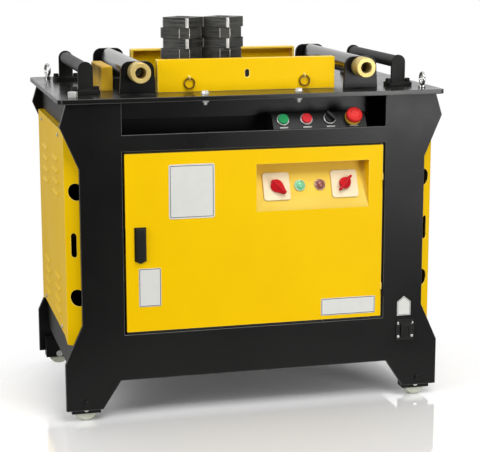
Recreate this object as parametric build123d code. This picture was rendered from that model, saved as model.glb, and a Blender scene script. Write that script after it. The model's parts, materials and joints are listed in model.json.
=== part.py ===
from build123d import *
import os
from math import acos, atan2, cos, hypot, radians, sin

# A floor-standing machine that bends reinforcing bar, in millimetres.
# +Z is up, the front faces -Y, and the origin is on the floor under the middle of the deck.

# Clearances that tie mating pieces together
RUN_GAP = 0.08
FREE_GAP = 0.3
BOLT_GAP = 0.5

# Deck plate
DECK_X = 1000.0
DECK_Y = 610.0
DECK_T = 12.0
DECK_TOP = 822.0
DECK_CHAMFER = 10.0
DECK_UNDER = DECK_TOP - DECK_T

# Front and rear plates, half widths set in from the deck's ends and heights from the deck or the floor
PLATE_T = 10.0
PLATE_SETBACK = 10.0
PLATE_TOP_INSET = 20.0
SHOULDER_INSET = 3.0
SHOULDER_DROP = 55.0
WAIST_INSET = 49.0
WAIST_DROP = 162.0
LEG_INSET = 4.0
LEG_WIDE = 94.0
ARCH_RUN = 47.0
SLOT_DROP = 80.0
PLATE_TOP_HALF = DECK_X / 2 - PLATE_TOP_INSET
SHOULDER_HALF = DECK_X / 2 - SHOULDER_INSET
SHOULDER_Z = DECK_UNDER - SHOULDER_DROP
WAIST_HALF = DECK_X / 2 - WAIST_INSET
WAIST_TOP_Z = DECK_UNDER - WAIST_DROP
WAIST_LOW_Z = 253.0
LEG_HALF = DECK_X / 2 - LEG_INSET
LEG_TOP_Z = 154.0
LEG_FOOT_Z = 31.0
LEG_INNER_HALF = LEG_HALF - LEG_WIDE
ARCH_HALF = LEG_INNER_HALF - ARCH_RUN
ARCH_Z = 103.0
SLOT_HALF = 343.0
SLOT_Z = DECK_UNDER - SLOT_DROP
FACE_Y = DECK_Y / 2 - PLATE_SETBACK
INNER_Y = FACE_Y - PLATE_T

# Door in the front plate, hinged at its right edge
DOOR_HALF = 337.5
DOOR_LOW = 228.0
DOOR_DROP = 48.0
DOOR_HIGH = SLOT_Z - DOOR_DROP
DOOR_GAP = 6.0
DOOR_DEPTH = 22.0
SHEET_T = 2.0
DOOR_SINK = 1.0
DOOR_FACE_Y = -FACE_Y + DOOR_SINK
HINGE_R = 2.5
HINGE_PIN_R = 1.2
HINGE_OUT = 2.0
KNUCKLE = 18.0
HINGE_UP = 72.0
HINGE_DOWN = 92.0
HINGE_Z = (DOOR_LOW + HINGE_UP, DOOR_HIGH - HINGE_DOWN)
HINGE_X = DOOR_HALF + DOOR_GAP / 2
HINGE_Y = -FACE_Y - HINGE_OUT
STOP_GAP = 1.0
STOP_LAP = 14.0

# Switch recess in the door: its back slopes away towards the top
RECESS_X0 = 0.0
RECESS_WIDE = 300.0
RECESS_DROP = 38.0
RECESS_TALL = 122.0
RECESS_X1 = RECESS_X0 + RECESS_WIDE
RECESS_HIGH = DOOR_HIGH - RECESS_DROP
RECESS_LOW = RECESS_HIGH - RECESS_TALL
RECESS_DEPTH = 48.0
SWITCH_UP = 59.0
LEFT_SWITCH_IN = 57.8
RIGHT_SWITCH_IN = 59.8
SWITCH_Z = RECESS_LOW + SWITCH_UP
SWITCH_X = (RECESS_X0 + LEFT_SWITCH_IN, RECESS_X1 - RIGHT_SWITCH_IN)
SWITCH_WIDE = 71.0
SWITCH_TALL = 73.0
SWITCH_T = 4.5
SWITCH_CORNER = 8.0
KNOB_SHAFT_R = 6.0
KNOB_R = 16.5
KNOB_SIDE = 5.0
KNOB_RIDGE = 15.0
KNOB_RIDGE_HALF = 2.0
KNOB_REACH = 29.0
KNOB_TIP_HALF = 2.5
KNOB_TAIL = 19.0
LEFT_KNOB_TURN = -46.0
RIGHT_KNOB_TURN = 48.0
BAR_KNOB_R = 15.0
BAR_KNOB_REACH = 24.0
BAR_KNOB_HALF = 3.0
GREEN_LAMP_SHARE = 0.341
RED_LAMP_SHARE = 0.637
SWITCH_PITCH = SWITCH_X[1] - SWITCH_X[0]
LAMP_X = tuple(SWITCH_X[0] + share * SWITCH_PITCH for share in (GREEN_LAMP_SHARE, RED_LAMP_SHARE))
LAMP_R = 14.5
LAMP_RIM = 4.0
LAMP_LENS_R = 11.5
LAMP_DOME = 5.0

# Door latch
LATCH_INSET = 36.9
LATCH_UP = 176.0
LATCH_TALL = 93.0
LATCH_SHAFT_DROP = 17.0
LATCH_X = LATCH_INSET - DOOR_HALF
LATCH_LOW = DOOR_LOW + LATCH_UP
LATCH_HIGH = LATCH_LOW + LATCH_TALL
LATCH_WIDE = 30.0
LATCH_BASE_T = 3.0
LATCH_POINT = 7.0
LATCH_SHAFT_R = 5.0
LATCH_SHAFT_Z = LATCH_HIGH - LATCH_SHAFT_DROP
HANDLE_T = 6.0
HANDLE_INSET = 2.5
CAM_REACH = 54.0
CAM_WIDE = 16.0
CAM_T = 4.0
CAM_GAP = 1.0
NOTCH_BELOW = 60.0

# Sheet side panels: a flat face between two angled strips
SIDE_INSET = 16.0
STRIP_RUN = 39.0
STRIP_DEPTH = 39.0
SIDE_DROP = 73.0
SIDE_X = DECK_X / 2 - SIDE_INSET
SIDE_BEND_Y = FACE_Y - STRIP_RUN
STRIP_END_X = SIDE_X - STRIP_DEPTH
SIDE_LOW = 208.0
SIDE_HIGH = DECK_UNDER - SIDE_DROP
STRIP_TIP = 12.0
STRIP_NOTCH = 49.0
SIDE_FLANGE = 18.0
STRIP_HOLE_R = 21.5
STRIP_HOLE_IN = 15.8
STRIP_HOLE_DOWN = 147.0
STRIP_HOLE_UP = 113.0
STRIP_HOLE_Z = (SIDE_HIGH - STRIP_HOLE_DOWN, SIDE_LOW + STRIP_HOLE_UP)
STRIP_SLOT_WIDE = 16.0
STRIP_SLOT_UP = 216.0
STRIP_SLOT_TALL = 62.0
STRIP_SLOT_LOW = SIDE_LOW + STRIP_SLOT_UP
STRIP_SLOT_HIGH = STRIP_SLOT_LOW + STRIP_SLOT_TALL
STRIP_MIDDLE = hypot(STRIP_DEPTH, INNER_Y - SIDE_BEND_Y) / 2
LOUVRE_LONG = 104.0
LOUVRE_TALL = 12.0
LOUVRE_OUT = 5.0
LOUVRE_TAPER = 12.0
LOUVRE_Y = 105.0
LOUVRE_PITCH = 30.0
LOUVRE_ROWS = 4
LOUVRE_DOWN = 80.0
LOUVRE_UP = 139.0
LOUVRE_TOP_Z = (SIDE_HIGH - LOUVRE_DOWN, SIDE_LOW + LOUVRE_UP)

# Rails, posts and base inside the plates
RAIL_INSET = 16.0
POST_INSET = 5.0
RAIL_X = SIDE_X - RAIL_INSET
RAIL_T = 4.0
RAIL_FLANGE = 24.0
POST_OUT_X = STRIP_END_X - POST_INSET
POST_LEG = 40.0
POST_T = 4.0
PAN_T = 4.0
REAR_PANEL_LAP = 12.0
DECK_BEAM_HALF = 320.0
DECK_BEAM_Y = 200.0
DECK_BEAM_SIDE = 50.0
DECK_BEAM_WALL = 4.0
SLOT_WALL_TALL = 120.0
SLOT_WALL_GAP = 4.0

# Sloping control console inside the slot
CONSOLE_X0 = 47.0
CONSOLE_WIDE = 249.0
CONSOLE_X1 = CONSOLE_X0 + CONSOLE_WIDE
CONSOLE_LIP = 5.0
CONSOLE_DROP = 1.0
CONSOLE_TALL = 36.0
CONSOLE_LOW = SLOT_Z - CONSOLE_DROP
CONSOLE_HIGH = CONSOLE_LOW + CONSOLE_TALL
CONSOLE_LEAN = 24.0
CONSOLE_T = 2.5
CONTROL_PITCH = 62.0
CONTROL_IN = 28.0
CONTROL_SHARE = 0.62
CONTROL_X = tuple(CONSOLE_X0 + CONTROL_IN + CONTROL_PITCH * place for place in range(4))
BUTTON_R = 13.5
BEZEL_R = 16.0
BEZEL_T = 4.0
BUTTON_PROUD = 9.5
BUTTON_TAIL = 12.0
LEVER_LONG = 15.0
LEVER_WIDE = 7.0
LEVER_TALL = 12.0
SELECTOR_TURN = 40.0
ESTOP_R = 21.0
ESTOP_STEM_R = 9.0
ESTOP_RING_R = 21.0
ESTOP_RING_T = 5.0
ESTOP_LIFT = 12.0
ESTOP_CAP = 13.0
ESTOP_DISH_R = 13.0
ESTOP_DISH = 2.5

# Hand rails at the deck's ends
RAIL_POST_INSET = 86.0
RAIL_POST_X = DECK_X / 2 - RAIL_POST_INSET
RAIL_POST_WIDE = 38.0
RAIL_POST_T = 8.0
RAIL_POST_Y = 188.0
RAIL_POST_RISE = 81.0
RAIL_POST_TOP = DECK_TOP + RAIL_POST_RISE
RAIL_BAR_R = 16.0
RAIL_FOOT_WIDE = 70.0
RAIL_FOOT_DEEP = 42.0
RAIL_FOOT_T = 10.0

# Support rollers, their brackets and bushes
ROLLER_INSET = 121.5
ROLLER_SHIFT = 3.0
ROLLER_RISE = 57.0
ROLLER_X = RAIL_POST_X - ROLLER_INSET
LEFT_ROLLER_X = ROLLER_SHIFT - ROLLER_X
RIGHT_ROLLER_X = ROLLER_SHIFT + ROLLER_X
ROLLER_Z = DECK_TOP + ROLLER_RISE
ROLLER_R = 26.0
JOURNAL_R = 12.0
BRACKET_Y = 230.0
BRACKET_T = 10.0
BRACKET_HALF = 46.0
BRACKET_TOP_HALF = 41.0
BRACKET_CORNER = 22.0
BUSH_BORE_R = 13.5
BUSH_FRONT = 45.0
BUSH_REAR = 15.0

# Stop beams on the deck, channels with their open side inwards
BEAM_INSET = 58.5
BEAM_HALF = ROLLER_X - BEAM_INSET
BEAM_Y = 200.0
BEAM_TALL = 82.0
BEAM_DEEP = 28.0
BEAM_T = 6.0
BEAM_HOLE_UP = 44.0
BEAM_HOLE_Z = DECK_TOP + BEAM_HOLE_UP
BEAM_HOLE_WIDE = 11.0
BEAM_HOLE_TALL = 20.0
PULL_INSET = 82.0
PULL_X = BEAM_HALF - PULL_INSET
PULL_UP = 35.0
PULL_Z = DECK_TOP + PULL_UP
PULL_R = 13.0
PULL_WIRE_R = 2.0
EYE_R = 5.0
EYE_HOLE_R = 2.8
EYE_T = 3.0
EYE_OUT = 4.5

# Guide block, eye bolts and bolts
GUIDE_OUT = 70.5
GUIDE_WIDE = 29.0
GUIDE_LONG = 170.0
GUIDE_X0 = -ROLLER_X - GUIDE_OUT
GUIDE_X1 = GUIDE_X0 + GUIDE_WIDE
GUIDE_Y0 = -116.0
GUIDE_Y1 = GUIDE_Y0 + GUIDE_LONG
GUIDE_TALL = 62.5
GUIDE_EDGE = 3.0
CORNER_INSET_X = 44.0
CORNER_INSET_Y = 52.0
CORNER_X = DECK_X / 2 - CORNER_INSET_X
CORNER_Y = DECK_Y / 2 - CORNER_INSET_Y
EYE_BOLT_R = 15.5
EYE_BOLT_WIRE = 3.8
EYE_COLLAR_R = 9.5
EYE_COLLAR_T = 6.0
RIGHT_EYE_TURN = -3.0
LEFT_EYE_TURN = 15.0
HEX_FLATS = 21.0
HEX_TALL = 14.0
BOLT_R = 8.0
BEAM_BOLT_INSET = 111.5
BEAM_BOLT_X = BEAM_HALF - BEAM_BOLT_INSET
BEAM_BOLT_Y = 252.0
BEAM_BOLT_FLATS = 13.0
BEAM_BOLT_TALL = 5.5
BEAM_BOLT_R = 4.0
BEAM_BOLT_BELOW = 16.0
NUT_TALL = 8.0

# Work disc, spindle and die stacks
DISC_X = -15.0
DISC_R = 150.0
DISC_T = 20.0
DISC_RAISE = 7.0
DISC_GAP = 2.0
DIE_PITCH = 109.5
DIE_LAYERS = 6
DIE_T = 27.2
DIE_SEAT_R = 32.0
DIE_SEAT_T = 7.8
DIE_SIDE = 82.0
DIE_CHAMFER = 5.2
WIDE_DIE_SIDE = 88.5
WIDE_DIE_CHAMFER = 19.0
WIDE_DIE_NOSE = 7.5
WIDE_DIE_OFFSET = 2.0
WIDE_DIE_TURN = -5.0
DIE_PIN_R = 20.0
DIE_PIN_SINK = 15.0
DIE_PIN_DROP = 4.0
DISC_HOLES = 8
SPINDLE_R = 40.0
SPINDLE_SINK = 60.0

# Reducer, motor and belt drive
REDUCER_X0 = -145.0
REDUCER_X1 = 115.0
REDUCER_HALF_Y = 120.0
REDUCER_TALL = 200.0
REDUCER_EDGE = 14.0
HANGER_OVER = 22.0
HANGER_T = 12.0
BEARING_R = 72.0
BEARING_STEP_R = 56.0
BEARING_T = 38.0
INPUT_DROP = 170.0
INPUT_Z = DECK_UNDER - INPUT_DROP
INPUT_R = 14.0
SHAFT_SINK = 30.0
BELT_X = 190.0
BELT_COUNT = 2
BELT_PITCH = 18.0
BELT_WIDE = 12.0
BELT_T = 8.0
BELT_GAP = 0.6
PULLEY_RIM = 5.0
BIG_PULLEY_R = 100.0
SMALL_PULLEY_R = 50.0
MOTOR_Z = 212.0
MOTOR_R = 85.0
MOTOR_X0 = -110.0
MOTOR_X1 = 140.0
MOTOR_SHAFT_R = 12.0
MOTOR_FOOT_HALF = 70.0
MOTOR_FOOT_T = 10.0
FIN_COUNT = 18
FIN_TALL = 9.0
FIN_T = 4.0
BOX_INSET = 10.0
BOX_WIDE = 100.0
BOX_X0 = BOX_INSET - POST_OUT_X
BOX_X1 = BOX_X0 + BOX_WIDE
BOX_HALF_Y = 140.0
BOX_TALL = 320.0
BOX_EDGE = 4.0

# Wheels under the legs
WHEEL_INSET = 52.0
WHEEL_X = LEG_HALF - WHEEL_INSET
WHEEL_R = 30.0
WHEEL_WIDE = 27.0
WHEEL_EDGE = 4.0
AXLE_R = 6.0
FORK_T = 5.0
FORK_HALF = 37.0
FORK_LOW = 20.0
FORK_HIGH = 74.0
FORK_SIDE_GAP = 0.5
AXLE_HEAD_R = 9.0
AXLE_HEAD_T = 4.0

# Power inlet on the right leg
INLET_INSET = 90.0
INLET_X = LEG_HALF - INLET_INSET
INLET_Z = 186.5
INLET_WIDE = 50.0
INLET_TALL = 57.0
INLET_T = 3.0
INLET_CORNER = 4.0
CUP_R = 15.0
CUP_WALL = 2.5
CUP_DEEP = 40.0
CONTACT_R = 2.0
CONTACT_RING = 8.0
CONTACT_LONG = 12.0
CONTACTS = 3
COVER_WIDE = 26.0
COVER_BELOW = 19.5
COVER_TALL = 36.0
COVER_LOW = INLET_Z - COVER_BELOW
COVER_HIGH = COVER_LOW + COVER_TALL
COVER_T = 4.0
COVER_RIB = 2.0
COVER_RIBS = 4
COVER_LUG = 5.0

UPRIGHT = (Align.CENTER, Align.CENTER, Align.MIN)


def block(x0, x1, y0, y1, z0, z1):
    """Block between two opposite corners."""
    middle = Pos((x0 + x1) / 2, (y0 + y1) / 2, (z0 + z1) / 2)
    return middle * Box(x1 - x0, y1 - y0, z1 - z0)


def rod(start, direction, radius, length):
    """Round bar from a point along a direction."""
    return Plane(origin=start, z_dir=direction) * Cylinder(radius, length, align=UPRIGHT)


def prism(points, direction, length):
    """Closed outline of points in space, pushed along a direction."""
    outline = Face(Wire.make_polygon([Vector(*p) for p in points], close=True))
    return extrude(outline, amount=length, dir=direction)


def flip_x(shape):
    """The same shape on the other side."""
    return mirror(shape, about=Plane.YZ)


def flip_y(shape):
    """The same shape at the other end, front to rear."""
    return mirror(shape, about=Plane.XZ)


def four_corners(shape):
    """The shape and its copies at the other three corners."""
    pair = [shape, flip_x(shape)]
    return pair + [flip_y(one) for one in pair]


def save(name, *shapes):
    """Write one node; a group of like pieces stays a group of separate solids."""
    solids = [solid for shape in shapes for solid in shape.solids()]
    piece = solids[0] if len(solids) == 1 else Compound(solids)
    export_step(piece, f"parts/{name}.step")
    print(name, len(solids))


def make_deck():
    """Deck plate with clipped corners, the disc's opening and its bolt holes."""
    deck = block(-DECK_X / 2, DECK_X / 2, -DECK_Y / 2, DECK_Y / 2, DECK_UNDER, DECK_TOP)
    deck = chamfer(deck.edges().filter_by(Axis.Z), DECK_CHAMFER)
    deck -= rod((DISC_X, 0, DECK_UNDER), (0, 0, 1), DISC_R + DISC_GAP, DECK_T)
    for x, y in corner_bolt_places():
        deck -= rod((x, y, DECK_UNDER), (0, 0, 1), BOLT_R + BOLT_GAP, DECK_T)
    for x, y in beam_bolt_places():
        deck -= rod((x, y, DECK_UNDER), (0, 0, 1), BEAM_BOLT_R + BOLT_GAP, DECK_T)
    return deck


def corner_bolt_places():
    """Where large bolts go down through the deck: two opposite corners."""
    return [(-CORNER_X, -CORNER_Y), (CORNER_X, CORNER_Y)]


def beam_bolt_places():
    """Where small bolts go down through the deck: outside both ends of each beam."""
    return [(x, y) for x in (-BEAM_BOLT_X, BEAM_BOLT_X) for y in (-BEAM_BOLT_Y, BEAM_BOLT_Y)]


def make_end_plate():
    """Front plate: shoulders, waist, splayed legs, the arch between them and the door opening."""
    right = [
        (PLATE_TOP_HALF, DECK_UNDER),
        (SHOULDER_HALF, SHOULDER_Z),
        (WAIST_HALF, WAIST_TOP_Z),
        (WAIST_HALF, WAIST_LOW_Z),
        (LEG_HALF, LEG_TOP_Z),
        (LEG_HALF, LEG_FOOT_Z),
        (LEG_INNER_HALF, LEG_FOOT_Z),
        (ARCH_HALF, ARCH_Z),
    ]
    outline = right + [(-x, z) for x, z in reversed(right)]
    plate = prism([(x, -FACE_Y, z) for x, z in outline], (0, 1, 0), PLATE_T)
    half = DOOR_HALF + DOOR_GAP
    return plate - block(-half, half, -FACE_Y, -INNER_Y, DOOR_LOW - DOOR_GAP, DOOR_HIGH + DOOR_GAP)


def make_front_plate():
    """End plate with the open slot under the deck, the power inlet's hole and the door's dust strips."""
    plate = make_end_plate()
    plate -= block(-SLOT_HALF, SLOT_HALF, -FACE_Y, -INNER_Y, SLOT_Z, DECK_UNDER)
    lap = DOOR_GAP + STOP_LAP
    back = -INNER_Y + SHEET_T
    low = DOOR_LOW - lap
    high = DOOR_HIGH + lap
    right = DOOR_HALF + lap
    plate += block(DOOR_HALF + STOP_GAP, right, -INNER_Y, back, low, high)
    plate += block(-DOOR_HALF, right, -INNER_Y, back, DOOR_HIGH + STOP_GAP, high)
    plate += block(-DOOR_HALF, right, -INNER_Y, back, low, DOOR_LOW - STOP_GAP)
    return plate - rod((INLET_X, -FACE_Y, INLET_Z), (0, 1, 0), CUP_R + CUP_WALL + FREE_GAP, PLATE_T)


def make_rear_panel():
    """Screwed-on sheet that closes the rear plate's opening."""
    half = DOOR_HALF + DOOR_GAP + REAR_PANEL_LAP
    low = DOOR_LOW - DOOR_GAP - REAR_PANEL_LAP
    high = DOOR_HIGH + DOOR_GAP + REAR_PANEL_LAP
    return block(-half, half, FACE_Y, FACE_Y + SHEET_T, low, high)


def make_side_rails():
    """Pressed rails between the plates, above and below each side panel."""
    upper = block(RAIL_X - RAIL_T, RAIL_X, -INNER_Y, INNER_Y, SIDE_HIGH, DECK_UNDER)
    upper += block(RAIL_X - RAIL_FLANGE, RAIL_X, -INNER_Y, INNER_Y, DECK_UNDER - RAIL_T, DECK_UNDER)
    lower = block(RAIL_X - RAIL_T, RAIL_X, -INNER_Y, INNER_Y, ARCH_Z, SIDE_LOW)
    notch = block(
        RAIL_X - RAIL_T, RAIL_X,
        -INNER_Y, -SIDE_BEND_Y,
        SIDE_LOW - STRIP_TIP, SIDE_LOW,
    )
    lower -= notch
    lower -= flip_y(notch)
    return [upper, lower, flip_x(upper), flip_x(lower)]


def make_corner_posts():
    """Angle posts from the base pan up to the deck."""
    foot = ARCH_Z + PAN_T
    inner = POST_OUT_X - POST_LEG
    post = block(inner, POST_OUT_X, -INNER_Y, -INNER_Y + POST_T, foot, DECK_UNDER)
    post += block(POST_OUT_X - POST_T, POST_OUT_X, -INNER_Y, -INNER_Y + POST_LEG, foot, DECK_UNDER)
    front_right, *others = four_corners(post)
    cup_hole = rod((INLET_X, -INNER_Y, INLET_Z), (0, 1, 0), CUP_R + CUP_WALL + BOLT_GAP, POST_T)
    return [front_right - cup_hole, *others]


def make_base_pan():
    """Floor of the cabinet, level with the arches."""
    edge = RAIL_X - RAIL_T
    return block(-edge, edge, -INNER_Y, INNER_Y, ARCH_Z, ARCH_Z + PAN_T)


def make_deck_beams():
    """Square tubes welded under the deck, which carry the reducer."""
    low = DECK_UNDER - DECK_BEAM_SIDE
    wall = DECK_BEAM_WALL
    inner_y = -DECK_BEAM_Y + DECK_BEAM_SIDE
    beam = block(-DECK_BEAM_HALF, DECK_BEAM_HALF, -DECK_BEAM_Y, inner_y, low, DECK_UNDER)
    beam -= block(
        -DECK_BEAM_HALF, DECK_BEAM_HALF,
        -DECK_BEAM_Y + wall, inner_y - wall,
        low + wall, DECK_UNDER - wall,
    )
    return [beam, flip_y(beam)]


def make_slot_wall():
    """Sheet that closes the back of the slot under the deck."""
    half = RAIL_X - RAIL_FLANGE - SLOT_WALL_GAP
    front = -DECK_BEAM_Y - SHEET_T
    return block(-half, half, front, -DECK_BEAM_Y, DECK_UNDER - SLOT_WALL_TALL, DECK_UNDER)


def strip_frame(from_end, z):
    """Frame on the front angled strip, some way in from its end: its z looks out, its y points up."""
    run = Vector(SIDE_X - STRIP_END_X, INNER_Y - SIDE_BEND_Y, 0).normalized()
    place = Vector(STRIP_END_X, -INNER_Y, z) + run * from_end
    return Plane(origin=place, x_dir=run, z_dir=(run.Y, -run.X, 0))


def make_side_panel():
    """Right side panel: pressed sheet with two angled strips, vents, holes and return flanges."""
    lean = atan2(SIDE_X - STRIP_END_X, INNER_Y - SIDE_BEND_Y)
    flat_in = SIDE_X - SHEET_T
    bend_in = SIDE_BEND_Y - SHEET_T * sin(lean / 2) / cos(lean / 2)
    end_in = STRIP_END_X - SHEET_T / cos(lean)
    front = [
        (STRIP_END_X, -INNER_Y),
        (SIDE_X, -SIDE_BEND_Y),
    ]
    inside = [
        (flat_in, -bend_in),
        (end_in, -INNER_Y),
    ]
    outline = front + [(x, -y) for x, y in reversed(front)]
    outline += [(x, -y) for x, y in reversed(inside)] + inside
    low = SIDE_LOW - STRIP_TIP
    panel = prism([(x, y, low) for x, y in outline], (0, 0, 1), SIDE_HIGH - low)
    notch_y = SIDE_BEND_Y - STRIP_NOTCH
    notch = [(-SIDE_BEND_Y, low), (-notch_y, SIDE_LOW), (notch_y, SIDE_LOW), (SIDE_BEND_Y, low)]
    panel -= prism([(0, y, z) for y, z in notch], (1, 0, 0), SIDE_X + SHEET_T)
    for z in STRIP_HOLE_Z:
        hole = strip_frame(STRIP_HOLE_IN, z) * Cylinder(STRIP_HOLE_R, 4 * SHEET_T)
        panel -= hole
        panel -= flip_y(hole)
    tall = STRIP_SLOT_HIGH - STRIP_SLOT_LOW
    oval = SlotOverall(tall, STRIP_SLOT_WIDE, rotation=90)
    frame = strip_frame(STRIP_MIDDLE, (STRIP_SLOT_LOW + STRIP_SLOT_HIGH) / 2)
    slot = extrude(frame * oval, amount=2 * SHEET_T, both=True)
    panel -= slot
    panel -= flip_y(slot)
    for low_z in (SIDE_LOW, SIDE_HIGH - SHEET_T):
        panel += block(SIDE_X - SIDE_FLANGE, flat_in, -bend_in, bend_in, low_z, low_z + SHEET_T)
    for top_z in LOUVRE_TOP_Z:
        for row in range(LOUVRE_ROWS):
            for y in (-LOUVRE_Y, LOUVRE_Y):
                panel = add_louvre(panel, y, top_z - row * LOUVRE_PITCH)
    return panel


def add_louvre(panel, y, z):
    """A pressed hood with slanting ends that opens downwards, with its slot through the sheet."""
    def wedge(out, inside, top, bottom, half):
        side = [
            (SIDE_X - inside, y - half, top),
            (SIDE_X + out, y - half, bottom),
            (SIDE_X - inside, y - half, bottom),
        ]
        return prism(side, (0, 1, 0), 2 * half)

    half = LOUVRE_LONG / 2
    short = half - LOUVRE_TAPER
    top = z + LOUVRE_TALL / 2
    bottom = z - LOUVRE_TALL / 2
    plan = [
        (SIDE_X, y - half, bottom),
        (SIDE_X + LOUVRE_OUT, y - short, bottom),
        (SIDE_X + LOUVRE_OUT, y + short, bottom),
        (SIDE_X, y + half, bottom),
    ]
    hood = wedge(LOUVRE_OUT, 0, top, bottom, half) & prism(plan, (0, 0, 1), LOUVRE_TALL)
    wall = SHEET_T / 2
    mouth = wedge(LOUVRE_OUT - wall, SHEET_T, top - 2 * wall, bottom, short)
    return panel + hood - mouth


def recess_frame(x):
    """Frame on the recess's sloping back at the switches' height: z looks out, y points up it."""
    tall = RECESS_HIGH - RECESS_LOW
    back = DOOR_FACE_Y + RECESS_DEPTH * (SWITCH_Z - RECESS_LOW) / tall
    return Plane(origin=(x, back, SWITCH_Z), x_dir=(1, 0, 0), z_dir=(0, -tall, RECESS_DEPTH))


def recess_wedge(grow):
    """The recess as a wedge, or the tray around it when grown by a sheet."""
    start = (RECESS_X0 - grow, DOOR_FACE_Y, RECESS_LOW - grow)
    deep = (RECESS_X0 - grow, DOOR_FACE_Y + RECESS_DEPTH + grow, RECESS_HIGH + grow)
    top = (RECESS_X0 - grow, DOOR_FACE_Y, RECESS_HIGH + grow)
    return prism([start, deep, top], (1, 0, 0), RECESS_X1 - RECESS_X0 + 2 * grow)


def make_door():
    """Folded sheet door with its switch recess, latch notch and two hinge knuckles."""
    back = DOOR_FACE_Y + DOOR_DEPTH
    sheet = SHEET_T
    door = block(-DOOR_HALF, DOOR_HALF, DOOR_FACE_Y, back, DOOR_LOW, DOOR_HIGH)
    door -= block(
        -DOOR_HALF + sheet, DOOR_HALF - sheet,
        DOOR_FACE_Y + sheet, back,
        DOOR_LOW + sheet, DOOR_HIGH - sheet,
    )
    door += recess_wedge(sheet)
    door -= recess_wedge(0)
    for x in SWITCH_X:
        door -= recess_frame(x) * Cylinder(KNOB_SHAFT_R + FREE_GAP, 8 * sheet)
    door -= rod((LATCH_X, DOOR_FACE_Y, LATCH_SHAFT_Z), (0, 1, 0), LATCH_SHAFT_R + FREE_GAP, sheet)
    door -= block(
        -DOOR_HALF, -DOOR_HALF + sheet,
        DOOR_FACE_Y + sheet, back,
        LATCH_SHAFT_Z - NOTCH_BELOW, LATCH_SHAFT_Z + CAM_WIDE,
    )
    for z in HINGE_Z:
        foot = z + FREE_GAP
        knuckle = rod((HINGE_X, HINGE_Y, foot), (0, 0, 1), HINGE_R, KNUCKLE)
        knuckle += block(DOOR_HALF - sheet, HINGE_X, HINGE_Y, DOOR_FACE_Y + sheet, foot, foot + KNUCKLE)
        door += knuckle
        door -= rod((HINGE_X, HINGE_Y, foot), (0, 0, 1), HINGE_PIN_R + RUN_GAP, KNUCKLE)
    return door


def make_hinge_pins():
    """Lower knuckles on the front plate, each with the pin that the door lifts off."""
    pins = []
    for z in HINGE_Z:
        pin = rod((HINGE_X, HINGE_Y, z - KNUCKLE), (0, 0, 1), HINGE_R, KNUCKLE)
        pin += rod((HINGE_X, HINGE_Y, z), (0, 0, 1), HINGE_PIN_R, KNUCKLE)
        reach = DOOR_HALF + DOOR_GAP + 2 * HINGE_R
        pin += block(HINGE_X, reach, HINGE_Y, -FACE_Y, z - KNUCKLE, z)
        pins.append(pin)
    return pins


def make_switch_plates():
    """Rounded square plates on the recess's back, one behind each switch knob."""
    plates = []
    for x in SWITCH_X:
        face = RectangleRounded(SWITCH_WIDE, SWITCH_TALL, SWITCH_CORNER)
        face -= Circle(KNOB_SHAFT_R + FREE_GAP)
        plates.append(extrude(recess_frame(x) * face, amount=SWITCH_T))
    return plates


def make_lamp(x):
    """Indicator lamp: a stepped rim and a domed lens."""
    ball_r = (LAMP_LENS_R ** 2 + LAMP_DOME ** 2) / (2 * LAMP_DOME)
    ball = Pos(0, 0, LAMP_RIM + LAMP_DOME - ball_r) * Sphere(ball_r)
    lens = Cylinder(LAMP_LENS_R, LAMP_RIM + LAMP_DOME, align=UPRIGHT) & ball
    return recess_frame(x) * (Cylinder(LAMP_R, LAMP_RIM, align=UPRIGHT) + lens)


def knob_roof(half):
    """Cutter with two slopes that meet at a ridge along X, for a knob of the given half width."""
    outline = [
        (0, -half, 0),
        (0, -half, KNOB_SIDE),
        (0, -KNOB_RIDGE_HALF, KNOB_RIDGE),
        (0, KNOB_RIDGE_HALF, KNOB_RIDGE),
        (0, half, KNOB_SIDE),
        (0, half, 0),
    ]
    return Pos(-KNOB_REACH, 0, 0) * prism(outline, (1, 0, 0), 2 * KNOB_REACH)


def set_knob(x, turn, grip):
    """Put a grip on its shaft through the switch plate."""
    base = SWITCH_T + FREE_GAP
    knob = Pos(0, 0, -2 * SHEET_T) * Cylinder(KNOB_SHAFT_R, base + 2 * SHEET_T + KNOB_SIDE, align=UPRIGHT)
    knob += Pos(0, 0, base) * grip
    return recess_frame(x) * Rot(0, 0, turn) * knob


def make_pointer_knob(x, turn):
    """Main switch knob: round, drawn out to a point, with a ridge between two slopes."""
    corner = acos(KNOB_R / KNOB_REACH)
    touch_x = KNOB_R * cos(corner)
    touch_y = KNOB_R * sin(corner)
    point = [
        (-KNOB_TAIL, -KNOB_TIP_HALF),
        (touch_x, -touch_y),
        (KNOB_REACH, -KNOB_TIP_HALF),
        (KNOB_REACH, KNOB_TIP_HALF),
        (touch_x, touch_y),
        (-KNOB_TAIL, KNOB_TIP_HALF),
    ]
    outline = Circle(KNOB_R) + make_face(Polyline(*point, close=True))
    return set_knob(x, turn, extrude(outline, amount=KNOB_RIDGE) & knob_roof(KNOB_R))


def make_bar_knob(x, turn):
    """Second switch knob: a round cap with a narrow bar across it."""
    cap = extrude(Circle(BAR_KNOB_R), amount=KNOB_RIDGE) & knob_roof(KNOB_R)
    bar = block(-BAR_KNOB_REACH, BAR_KNOB_REACH, -BAR_KNOB_HALF, BAR_KNOB_HALF, 0, KNOB_RIDGE)
    return set_knob(x, turn, cap + bar)


def latch_outline(inset):
    """Latch outline on the door's face: a tall plate with a shallow point at its foot."""
    half = LATCH_WIDE / 2 - inset
    low = LATCH_LOW + inset
    high = LATCH_HIGH - inset
    return [
        (LATCH_X - half, high),
        (LATCH_X + half, high),
        (LATCH_X + half, low + LATCH_POINT),
        (LATCH_X, low),
        (LATCH_X - half, low + LATCH_POINT),
    ]


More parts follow.
